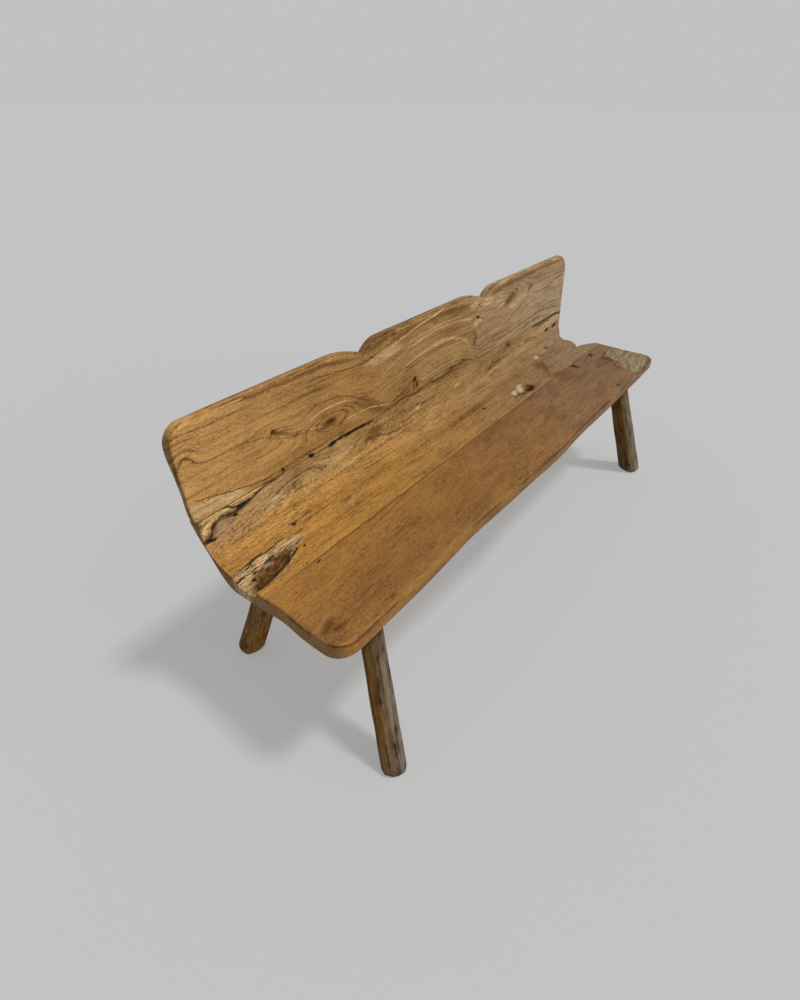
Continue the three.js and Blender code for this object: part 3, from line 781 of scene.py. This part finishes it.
    # The tone drifts from end to end; the dark wood is the light wood, browned.
    from_left = add(tree, "MapRange", {"Value": along, "From Min": -HALF, "From Max": HALF})
    light = add(tree, "ValToRGB", {"Fac": from_left}, stops=tones)
    light, _ = lay_marks(tree, light, STAINS, place, ragged, front, marks)
    colour = blend(tree, light, linear(dark), darkness, "MULTIPLY")

    # The sawn ends and the worn edges: browner, with a dark line along the arris.
    endwise = add(tree, "SeparateXYZ", (facing,))
    endwise = add(tree, "Math", (endwise,), operation="ABSOLUTE")
    endwise = add(tree, "MapRange", {"Value": endwise, "From Min": 0.45, "From Max": 0.85, "To Max": 0.9})
    end_wood = blend(tree, linear("#93703f"), linear("#6e6150"), darkness, "MULTIPLY")
    colour = blend(tree, colour, end_wood, endwise)
    depth = add(tree, "MapRange", {"Value": into, "From Min": 2.2, "From Max": 5})
    shallow = add(tree, "MapRange", {"Value": into, "From Min": 9, "From Max": 5})
    arris = add(tree, "Math", (depth, shallow), operation="MULTIPLY")
    grime = add(tree, "MapRange", {"Value": cloud, "From Min": 0.4, "From Max": 0.55, "To Max": 0.85})
    arris = add(tree, "Math", (arris, grime), operation="MULTIPLY")
    colour = blend(tree, colour, linear("#7a5f3a"), arris, "MULTIPLY")

    height = weigh(tree, 0.0, ((ring, -0.12), (fibre, -0.6), (pore, -0.2), (speck, -0.5), (cloud, 0.8)))
    torn_colour, torn_height = weathered_fibres(tree, place, rot_tones)
    torn = strongest(tree, [patch(tree, ragged, *spot) for spot in rotten])
    colour = blend(tree, colour, torn_colour, torn)
    height = add(tree, "Mix", {0: torn, 2: height, 3: torn_height})
    # Painted shade: the hollow's front wall is darkened inside its rotten patch.
    if "shade" in marks:
        shaded = strongest(tree, [patch(tree, ragged, *spot) for spot in marks["shade"]])
        shaded = add(tree, "Math", (shaded, torn), operation="MULTIPLY")
        colour = blend(tree, colour, linear("#977e53"), shaded, "MULTIPLY")
    # Holes are the last of the covers.
    colour, holes = lay_marks(tree, colour, COVERS, place, ragged, front, marks)
    height = weigh(tree, height, ((holes, -1.5),))
    roughness = add(tree, "MapRange", {"Value": darkness, "To Min": 0.5, "To Max": 0.68})
    wood_surface(tree, colour, roughness, height)
    return material


# Figures in the grain, where the rings swell round a knot: x, s, half length, half width, turn in degrees,
# and how many rings it adds. Marks on the face, by kind: patches (x, s, half length, half width, turn,
# softness) or lines (half width, then the points that they run through).
upper_figures = (
    (20, 440, 215, 92, 0, -5.2), (-446, 506, 92, 31, 0, -4.2), (-602, 535, 52, 17, -24, -1.8),
    (-113, 477, 26, 17, 0, -1.9), (205, 560, 30, 20, 0, -1.6), (-826, 580, 30, 26, 0, -1.5),
    (420, 592, 105, 28, 13, -3.0), (640, 480, 260, 46, 4, -2.0), (-300, 500, 60, 40, -30, 0.9),
    (222, 500, 42, 60, 0, 1.4), (-330, 640, 150, 40, 0, 1.0), (240, 640, 90, 34, 0, 1.0),
)
upper_marks = {
    "stain": (
        (-463, 493, 32, 9, 0, 0.6), (-596, 529, 26, 4, -24, 0.9), (-113, 477, 20, 18, 0, 0.5),
        (550, 583, 18, 8, 25, 0.4), (195, 506, 9, 30, 0, 0.5), (420, 582, 46, 14, 20, 0.6),
        (-280, 628, 70, 16, 8, 0.6), (11, (-700, 634), (-600, 634), (-450, 630), (-340, 612)),
        (17, (-240, 606), (-200, 618), (-120, 625), (0, 627), (120, 618), (205, 600)),
        (11, (262, 606), (320, 622), (420, 630), (600, 632), (830, 628)), (-205, 632, 14, 12, 0, 0.7),
        (-20, 616, 12, 9, 0, 0.7), (-300, 480, 70, 16, -30, 0.8),
        (2.0, (-730, 556), (-650, 541), (-590, 514), (-520, 500)),
    ),
    "vein": (
        (2.4, (-846, 487), (-790, 478), (-740, 464), (-690, 453), (-630, 445)),
        (2.2, (-538, 530), (-520, 544), (-494, 551), (-450, 549), (-405, 544), (-380, 533),
         (-350, 517), (-300, 509)),
        (2.0, (-530, 612), (-450, 608), (-390, 600), (-335, 595), (-290, 598), (-240, 606)),
        (-617, 541, 9, 5, -30, 0.5), (3.0, (560, 565), (630, 556), (700, 557), (780, 574), (835, 580)),
        (4.5, (-260, 442), (-180, 452), (-120, 446), (-40, 451), (20, 446), (70, 456), (130, 459),
         (200, 446)),
        (2.4, (280, 470), (360, 492), (450, 525), (520, 547), (560, 563)),
        (4.5, (-430, 447), (-400, 445), (-300, 439), (-260, 441)),
        (1.8, (480, 455), (620, 478), (680, 490), (850, 470)), (-38, 452, 12, 4, 0, 0.6),
        (64, 460, 12, 4, 10, 0.6), (128, 461, 10, 5, 20, 0.6),
    ),
    "gold": ((8, (-845, 600), (-830, 625), (-780, 638), (-700, 645)),),
    "dull": ((540, 614, 330, 34, 0, 0.5),),
    "pale": ((-235, 590, 60, 12, 4, 0.6), (3.0, (300, 612), (380, 609), (430, 600), (475, 582))),
    "arc": (
        (205, 554, 24, 10, 0, 0.5), (430, 551, 14, 8), (-262, 593, 50, 8, 6, 0.7),
        (10, (-40, 551), (10, 553), (70, 546), (120, 530), (150, 512), (172, 486)),
        (4.5, (-200, 511), (-160, 532), (-100, 547), (-30, 552), (20, 553)),
        (4.5, (-250, 545), (-200, 561), (-150, 575), (-80, 587), (0, 592), (90, 589), (190, 571)),
        (3.0, (-160, 588), (-90, 597), (0, 601), (90, 598), (140, 590)),
        (4.0, (-250, 590), (-200, 606), (-100, 624), (0, 635), (60, 640)),
        (3.0, (-524, 508), (-516, 521), (-500, 528), (-470, 532), (-410, 529), (-375, 522)),
        (3.0, (-524, 514), (-512, 505), (-496, 500), (-475, 496)),
        (3.0, (-415, 480), (-370, 481), (-325, 479), (-295, 475), (-240, 459)),
        (2.4, (-300, 478), (-260, 464), (-220, 455)),
    ),
    "straw": ((-800, 461, 84, 14, -8, 0.35),),
    "honey": ((15, 500, 145, 42, 0, 0.35), (-130, 560, 120, 30, 14, 0.8)),
    "seam": ((SEAM_HALF_WIDTH, (-846, 440.8), (-600, 440.8), (-300, 440.8)),),
    "shell": ((190, 516, 4, 3.5), (203, 561, 7, 4), (353, 572, 20, 4, 4)),
    "hole": (
        (-117, 485, 7, 6), (-109, 469, 4, 7, -20), (208, 569, 8, 4, -20), (-293, 598, 6, 2.5),
        (-610, 447, 2, 5), (-522, 443, 10, 4, -20), (-450, 442, 15, 4),
        (5, (-445, 444), (-400, 443), (-350, 442), (-290, 440)),
    ),
}
lower_marks = {
    "stain": (
        (-300, 402, 30, 18, 0, 0.7), (420, 431, 26, 8, -8, 0.5), (330, 388, 60, 6, 4, 0.7),
        (2.6, (-260, 440), (-150, 441), (0, 442), (160, 441)), (-646, 374, 22, 5, 0, 0.7),
        (-600, 430, 30, 10, 0, 0.8), (1.6, (-690, 380), (-650, 386), (-600, 379)),
        (2.4, (200, 441), (300, 440), (460, 442), (590, 437)),
    ),
    "olive": (
        (-640, 410, 100, 30, 0, 0.3), (-470, 414, 130, 27, 0, 0.35), (-60, 424, 110, 13, 0, 0.6),
        (130, 415, 70, 12, 0, 0.7), (560, 400, 90, 26, 0, 0.8),
    ),
    "dull": ((-780, 402, 34, 15, 4, 0.3),),
    "vein": (
        (10, (590, 436), (700, 441), (780, 440), (850, 431)),
        (8, (-690, 430), (-668, 437), (-640, 439), (-600, 442)),
    ),
    "gold": ((9, (-740, 368), (-640, 371), (-540, 371), (-460, 366)), (-330, 376, 60, 5, 0, 0.7)),
    "pale": (
        (3.2, (-365, 433), (-300, 424), (-220, 421)), (720, 402, 70, 8, 4, 0.8),
        (2, (-560, 400), (-530, 385), (-500, 380)),
    ),
    "arc": ((-105, 401, 9, 7, 0, 0.5), (100, 397, 13, 3, 8)),
    "shell": ((-731, 385, 4.4, 3.4), (-645, 395, 11, 3.4, 4, 0.5)),
    "seam": ((SEAM_HALF_WIDTH, (-846, 440.4), (-600, 440.4), (-300, 440.4)),),
    "crack": (
        # The first crack follows the loose flap's lip: its open gap, darkened further as painted shadow
        # under the lip.
        (3.2, (-764, 421), (-740, 419), (-711, 421), (-690, 428), (-669, 434), (-640, 436), (-620, 433)),
        (8, (596, 436), (650, 440), (720, 437), (780, 438), (846, 430)),
        (4.5, (626, 434), (664, 427), (700, 431), (738, 427)),
    ),
    "straw": (
        (14, (-843, 430), (-810, 438), (-740, 438), (-640, 446)),
        (12, (-838, 404), (-824, 414), (-806, 428), (-760, 436)),
    ),
    # Painted shadow: a dark brown band under the loose flap's lip.
    "painted_shadow": (
        (10, (-838, 393), (-813, 400), (-807, 411), (-796, 421), (-780, 425), (-764, 422),
         (-748, 418), (-732, 420)),
        (8, (-748, 417), (-711, 423), (-690, 430), (-669, 437)), (-836, 422, 7, 22, -12, 0.8),
    ),
    "knot": ((420, 423, 14, 5, -8), (317, 400, 6, 4), (299, 384, 7, 3)),
    "hole": (
        # The first hole, and the line through the lip's points two lines down, are painted shadow under the
        # loose flap's lip as well as its open gap.
        (-820, 390, 15, 4, -8), (-731, 423, 14, 5, 8),
        (3.4, (-774, 439), (-758, 436), (-748, 428), (-727, 423), (-703, 428)),
        (2.4, (-836, 390), (-813, 398), (-807, 408), (-796, 418), (-780, 422), (-764, 420),
         (-748, 416), (-711, 420)),
        (-747, 409, 5, 2), (-731, 385, 2.4, 2), (-522, 441, 9, 5, -20), (-450, 440, 15, 4),
        (5, (-440, 441), (-400, 440), (-350, 439), (-295, 436)), (-105, 407, 5, 3), (728, 393, 12, 6),
        (792, 394, 17, 6), (1.2, (620, 437), (690, 443), (760, 439), (840, 434)),
    ),
}
rear_marks = {
    "stain": (
        (490, 262, 70, 10, 38, 0.8), (510, 300, 34, 14, 20, 0.9), (470, 214, 34, 16, 0, 0.8),
        (-500, 297, 16, 6, 0, 0.7), (60, 300, 120, 12, 0, 0.9), (-300, 222, 4, 12, 0, 0.6),
        (1.5, (-302, 262), (-298, 240)), (-645, 330, 10, 12, 0, 0.7), (316, 238, 24, 10, 10, 0.5),
        (588, 335, 16, 7, 0, 0.7), (2.0, (430, 243), (480, 258), (560, 266), (640, 240)),
    ),
    "gold": ((-640, 296, 70, 18, 0, 0.8), (-645, 337, 8, 8, 0, 0.5)),
    "arc": ((566, 331, 16, 7, 10, 0.5),),
    "vein": (
        (672, 341, 12, 6, 0, 0.6), (232, 246, 5, 9, 0, 0.7),
        (3.0, (258, 269), (285, 273), (305, 279), (335, 279)),
    ),
    # Painted shade in the bowls of the two worn shells.
    "painted_shadow": ((322, 240, 19, 12, 35, 0.7), (262, 246, 14, 3, 10, 0.7)),
    "shell": ((298, 261, 25, 12, 28, 0.5), (253, 258, 19, 9, 14, 0.6)),
    "shade": ((-776, 256, 54, 25, 8, 0.35), (-742, 266, 44, 19, 14, 0.4), (-700, 266, 24, 6, 10, 0.6)),
    "seam": ((SEAM_HALF_WIDTH, (-846, 209), (-300, 209), (846, 209)),),
    "crack": (
        # Except the one by the pocket, these cracks lie along the hollow's front wall: splits, darkened
        # further as painted shadow of the wall.
        (3.6, (-812, 253), (-775, 250), (-748, 255), (-724, 267), (-696, 275)),
        (4.0, (258, 232), (272, 231), (290, 226)), (-812, 252, 5, 11, -10, 0.6),
        (-796, 262, 4, 10, -20, 0.6), (-768, 252, 9, 5, 20, 0.6), (-786, 240, 12, 4, 0, 0.6),
        (-754, 267, 7, 5, 0, 0.5), (2.2, (-748, 268), (-720, 271), (-700, 272)),
    ),
    "knot": ((334, 233, 5, 9, -28, 0.6),),
    "hole": (
        (100, 278, 8.5, 4.2, -6), (-647, 323, 5, 3), (5, 303, 4, 2.5), (787, 256, 9, 3, 0),
        (3.2, (-782, 309), (-752, 309)), (3.8, (-753, 307), (-718, 307)), (2.2, (-718, 309), (-686, 310)),
        (1.6, (-826, 305), (-800, 307), (-778, 309)), (3.2, (-836, 289), (-815, 291)),
        (2.2, (-816, 291), (-788, 290)), (2.4, (-802, 300), (-782, 304)), (3.2, (-799, 285), (-769, 283)),
        (4.2, (-766, 291), (-734, 290)), (3.2, (-760, 285), (-736, 283)), (-805, 273, 4, 6, 20),
        (3.0, (-730, 263), (-712, 262), (-690, 265)), (-727, 256, 7, 4, 0), (-681, 258, 5, 3, 0),
        (1.8, (-706, 280), (-680, 277), (-660, 283)), (1.8, (-668, 301), (-640, 302)),
    ),
}
front_marks = {
    "stain": (
        (-818, 70, 20, 9, 24, 0.9), (-808, 56, 26, 8, -10, 0.9), (0, 192, 110, 16, 0, 0.9),
        (470, 178, 34, 26, 0, 0.9), (570, 190, 24, 18, 0, 0.6), (712, 186, 20, 14, 0, 0.6),
        (680, 120, 60, 36, 30, 0.9), (1.2, (-80, 163), (-20, 184), (60, 197)), (-300, 45, 70, 10, 10, 0.9),
    ),
    "rubbed": ((-420, 62, 480, 62, 0, 0.4),),
    "vein": (
        (1.8, (-640, 180), (-560, 184), (-470, 192), (-380, 205)), (-816, 68, 20, 7, 24, 0.9),
        (-806, 54, 14, 5, -10, 0.9),
    ),
    "seam": ((SEAM_HALF_WIDTH, (-846, 207), (-300, 207), (846, 207)),),
    "crack": (
        (3.2, (555, 178), (600, 178), (640, 184), (690, 193), (760, 203)),
        (5, (600, 122), (625, 125), (660, 118), (700, 113), (724, 118)),
        (7, (648, 66), (668, 82), (684, 93), (694, 107), (712, 115), (732, 120)),
        (5, (684, 142), (715, 148), (745, 153), (775, 154)), (713, 130, 14, 13, 0, 0.5),
    ),
    "rust": (
        (-772, 98, 9, 5, -15), (-727, 98, 9, 4), (-650, 104, 7, 10), (-243, 24, 8, 11), (95, 14, 10, 8),
    ),
    "knot": (
        (575, 198, 14, 8, 14, 0.4), (707, 188, 13, 9, 0, 0.4), (715, 126, 10, 17, 0, 0.6),
        (5, (640, 36), (650, 60), (668, 82), (684, 93), (700, 110), (730, 118)),
        (4, (604, 123), (640, 125), (670, 116), (700, 114)),
    ),
    "hole": (
        (518, 22, 8, 4), (268, 140, 4, 2), (575, 198, 12, 6, 10), (571, 184, 7, 11), (707, 188, 11, 8),
        (-700, 200, 8, 1.8),
    ),
}
upper_back.data.materials.append(
    teak_board(
        "figured_teak_planed_and_oiled",
        tones=((0, "#d9a763"), (0.3, "#b68b4e"), (0.55, "#ad8553"), (0.8, "#c7a780"), (1, "#bda17d")),
        dark="#776554", spacing=17, figures=upper_figures, marks=upper_marks, rings=0.7, bands=0.8,
        streaks=0.25, pores=0.1, specks=0.9, warp=0.22,
        rotten=((268, 596, 92, 17, -5, 0.5), (200, 606, 40, 8, -8, 0.5)),
    )
)
lower_back.data.materials.append(
    teak_board(
        "teak_sapwood_planed_and_oiled",
        tones=((0, "#b88d52"), (0.3, "#bb9152"), (0.55, "#b0874f"), (0.8, "#b69263"), (1, "#ad8d65")),
        dark="#756858", spacing=13,
        figures=((-560, 412, 90, 24, 8, -2.0), (-330, 405, 70, 22, -8, -1.8), (450, 415, 120, 24, 8, -1.8)),
        marks=lower_marks, turn=9, rings=0.5, bands=0.8, streaks=0.5, pores=0.3, specks=1.2,
        rotten=((740, 412, 110, 14, 6, 0.6),),
    )
)
rear_board.data.materials.append(
    teak_board(
        "straight_grained_teak_planed_and_oiled",
        tones=((0, "#c58f44"), (0.3, "#bd8c47"), (0.55, "#b08753"), (0.8, "#a38159"), (1, "#9d8060")),
        dark="#776a58", spacing=12,
        figures=((-560, 320, 200, 26, 0, -1.4), (300, 250, 90, 36, 0, -1.6), (500, 270, 90, 40, 30, -1.8)),
        marks=rear_marks, rings=0.35, bands=0.5, streaks=0.45, pores=0.25, specks=1.1,
        rotten=((-785, 271, 78, 37, 0, 0.12), (-718, 285, 52, 20, 6, 0.4)),
    )
)
front_board.data.materials.append(
    teak_board(
        "red_teak_planed_and_rubbed",
        tones=((0, "#b47f3f"), (0.3, "#a6783c"), (0.55, "#996f43"), (0.8, "#8f6b47"), (1, "#8d6d4a")),
        dark="#74665a", spacing=22,
        figures=((-300, 60, 260, 50, 0, -1.1), (200, 130, 220, 50, 0, -1.1)),
        marks=front_marks, turn=2, rings=0.15, bands=0.3, streaks=0.3, pores=0.18, specks=1.0,
        rotten=((790, 90, 75, 62, -30, 0.12), (760, 40, 110, 30, 12, 0.12), (738, 62, 90, 34, 20, 0.12)),
        rot_tones=((0.38, "#604b2e"), (0.46, "#837052"), (0.53, "#9b8564"), (0.6, "#baa27b")),
    )
)


def pole_teak(name, facets, grey):
    """A teak pole shaved with a drawknife and left to weather: facets in two browns, checks up the grain,
    and as much grey as grey says, from 0 to 1: weathering at the foot, and on the facets that face the lamps
    a lighter grey that is painted light."""
    material, tree = new_material(name)
    place = add(tree, "Attribute", take="Vector", attribute_name="grain_place")
    height_up = add(tree, "SeparateXYZ", (place,))
    facet = grain_noise(tree, place, 420, 26, detail=1, shift=2)
    facet = add(tree, "MapRange", {"Value": facet, "From Min": 0.4, "From Max": 0.6})
    fibre = grain_noise(tree, place, 120, 3, detail=5)
    thread = grain_noise(tree, place, 30, 1.4, detail=3, shift=4)
    cloud = grain_noise(tree, place, 50, 22, detail=4, shift=5)
    check = grain_noise(tree, place, 90, 2.2, detail=2, shift=8)
    check = add(tree, "MapRange", {"Value": check, "From Min": 0.66, "From Max": 0.7})
    colour = blend(tree, linear(facets[0]), linear(facets[1]), facet)
    # Grey at the foot, which is weathering, and painted light: a lighter grey on the facets that face the
    # lamps. Towards the seat the colour goes to a darker brown, painted shade under the seat.
    facing = add(tree, "NewGeometry", take="Normal")
    lit = add(tree, "VectorMath", (facing, (0.4, -0.92, 0)), take="Value", operation="DOT_PRODUCT")
    lit = add(tree, "MapRange", {"Value": lit, "From Min": 0.15, "From Max": 0.8, "To Max": 0.85})
    feet = add(tree, "MapRange", {"Value": height_up, "From Min": 150, "From Max": 10})
    feet = add(tree, "Math", (feet, cloud, -0.14), operation="MULTIPLY_ADD")
    weathered_and_lit_grey = add(tree, "Math", (lit, feet), operation="MAXIMUM")
    weathered_and_lit_grey = add(tree, "Math", (weathered_and_lit_grey, grey), operation="MULTIPLY")
    colour = blend(tree, colour, linear("#857b6e"), weathered_and_lit_grey)
    # Painted shade: darker brown towards the top of the leg, under the seat.
    shaded = add(tree, "MapRange", {"Value": height_up, "From Min": 250, "From Max": 380, "To Max": 0.8})
    colour = blend(tree, colour, linear("#634218"), shaded)
    darkness = weigh(tree, 0.35, ((fibre, 2.4), (thread, 1.5), (cloud, 2.2)), middle=0.5)
    darkness = add(tree, "Math", (check, 0.8, darkness), operation="MULTIPLY_ADD", use_clamp=True)
    colour = blend(tree, colour, linear("#6a4f31"), darkness, "MULTIPLY")
    height = weigh(tree, fibre, ((check, -0.8), (cloud, 1.2)))
    roughness = add(tree, "MapRange", {"Value": darkness, "To Min": 0.6, "To Max": 0.75})
    wood_surface(tree, colour, roughness, height, sheen=0.06)
    return material


# The rear legs' copy is a brighter brown with little grey: painted light that makes up for the seat's shadow
# on them.
front_pole = pole_teak("shaved_teak_pole_weathered_and_lamp_lit_grey", ("#785220", "#705934"), grey=1)
rear_pole = pole_teak("shaved_teak_pole_brown_painted_lighter", ("#96682a", "#8c6d40"), grey=0.1)
for leg in legs:
    leg.data.materials.append(front_pole if leg.name.startswith("front") else rear_pole)


def turned_wood(name, light, dark):
    """Plain hardwood for pieces that the boards hide: straight grain along a dowel or a wedge."""
    material, tree = new_material(name)
    metres = add(tree, "TexCoord", take="Object")
    place = add(tree, "VectorMath", (metres, (1000, 1000, 1000)), operation="MULTIPLY")
    fibre = add(tree, "Mapping", {"Vector": place, "Scale": (0.5, 0.03, 0.03)})
    fibre = add(tree, "TexNoise", {"Vector": fibre, "Scale": 1, "Detail": 4})
    colour = add(tree, "ValToRGB", {"Fac": fibre}, stops=((0.35, dark), (0.65, light)))
    wood_surface(tree, colour, 0.7, fibre)
    return material


HIDDEN_WOOD = {
    "dowel": turned_wood("teak_dowel_turned", "#b58a52", "#8d683a"),
    "wedge": turned_wood("teak_wedge_split", "#8a6438", "#64462a"),
}
for name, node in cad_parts.items():
    for word, material in HIDDEN_WOOD.items():
        if word in name:
            node.data.materials.clear()
            node.data.materials.append(material)

# The stage: a plain pale floor, and a backdrop of the same grey beyond it.
PALE_GREY = linear("#c2c2c2")
FLOOR_GLOW = 0.5  # how much of the floor shows its own grey, so that the shadow on it stays soft
floor_shape = bmesh.new()
bmesh.ops.create_grid(floor_shape, x_segments=2, y_segments=2, size=60)
floor_mesh = bpy.data.meshes.new("floor")
floor_shape.to_mesh(floor_mesh)
floor_shape.free()
floor = bpy.data.objects.new("floor", floor_mesh)
bpy.context.scene.collection.objects.link(floor)


def where_seen(tree):
    """1 where the camera or a reflection sees the surface, 0 where it only gives or takes light."""
    ray = add(tree, "LightPath", take="all")
    return add(tree, "Math", (ray["Is Camera Ray"], ray["Is Glossy Ray"]), operation="MAXIMUM")


paper, paper_tree = new_material("pale_grey_paper")
lit_paper = add(paper_tree, "BsdfDiffuse", {"Color": PALE_GREY})
own_grey = add(paper_tree, "Emission", {"Color": PALE_GREY, "Strength": 1.0})
share = add(paper_tree, "Math", (where_seen(paper_tree), FLOOR_GLOW), operation="MULTIPLY")
mixed = add(paper_tree, "MixShader", (share, lit_paper, own_grey))
add(paper_tree, "OutputMaterial", {"Surface": mixed})
floor_mesh.materials.append(paper)

WORLD_LIGHT = 0.4
world = bpy.data.worlds.new("studio")
world.use_nodes = True
world_tree = world.node_tree
world_tree.nodes.clear()
soft_light = add(world_tree, "Background", {"Color": (1, 1, 1, 1), "Strength": WORLD_LIGHT})
backdrop = add(world_tree, "Background", {"Color": PALE_GREY, "Strength": 1.0})
mixed = add(world_tree, "MixShader", (where_seen(world_tree), soft_light, backdrop))
add(world_tree, "OutputWorld", {"Surface": mixed})
bpy.context.scene.world = world

# A key from high in front, and a low soft fill. On the floor they and the world add up to about 1.
for name, energy, angle, direction in (
    ("key", 1.78, 8, (-0.17, 0.42, -1)),
    ("fill", 0.9, 60, (-0.1, 0.93, -0.35)),
):
    lamp = bpy.data.lights.new(name, "SUN")
    lamp.energy = energy
    lamp.angle = math.radians(angle)
    lamp_object = bpy.data.objects.new(name, lamp)
    bpy.context.scene.collection.objects.link(lamp_object)
    lamp_object.rotation_euler = Vector(direction).to_track_quat("-Z", "Y").to_euler()

# The camera stands where the photographer did.
camera = bpy.data.cameras.new("camera")
camera.lens = 20.62
camera.clip_end = 200
camera_object = bpy.data.objects.new("camera", camera)
bpy.context.scene.collection.objects.link(camera_object)
CAMERA_PLACE = (-1.29886, -0.65457, 1.18637)
YAW, PITCH, ROLL = math.radians(-53.72), math.radians(90 - 35.39), math.radians(0.56)
camera_object.matrix_world = (
    Matrix.Translation(CAMERA_PLACE)
    @ Matrix.Rotation(YAW, 4, "Z")
    @ Matrix.Rotation(PITCH, 4, "X")
    @ Matrix.Rotation(ROLL, 4, "Z")
)
bpy.context.scene.camera = camera_object
bpy.context.scene.view_settings.view_transform = "Standard"
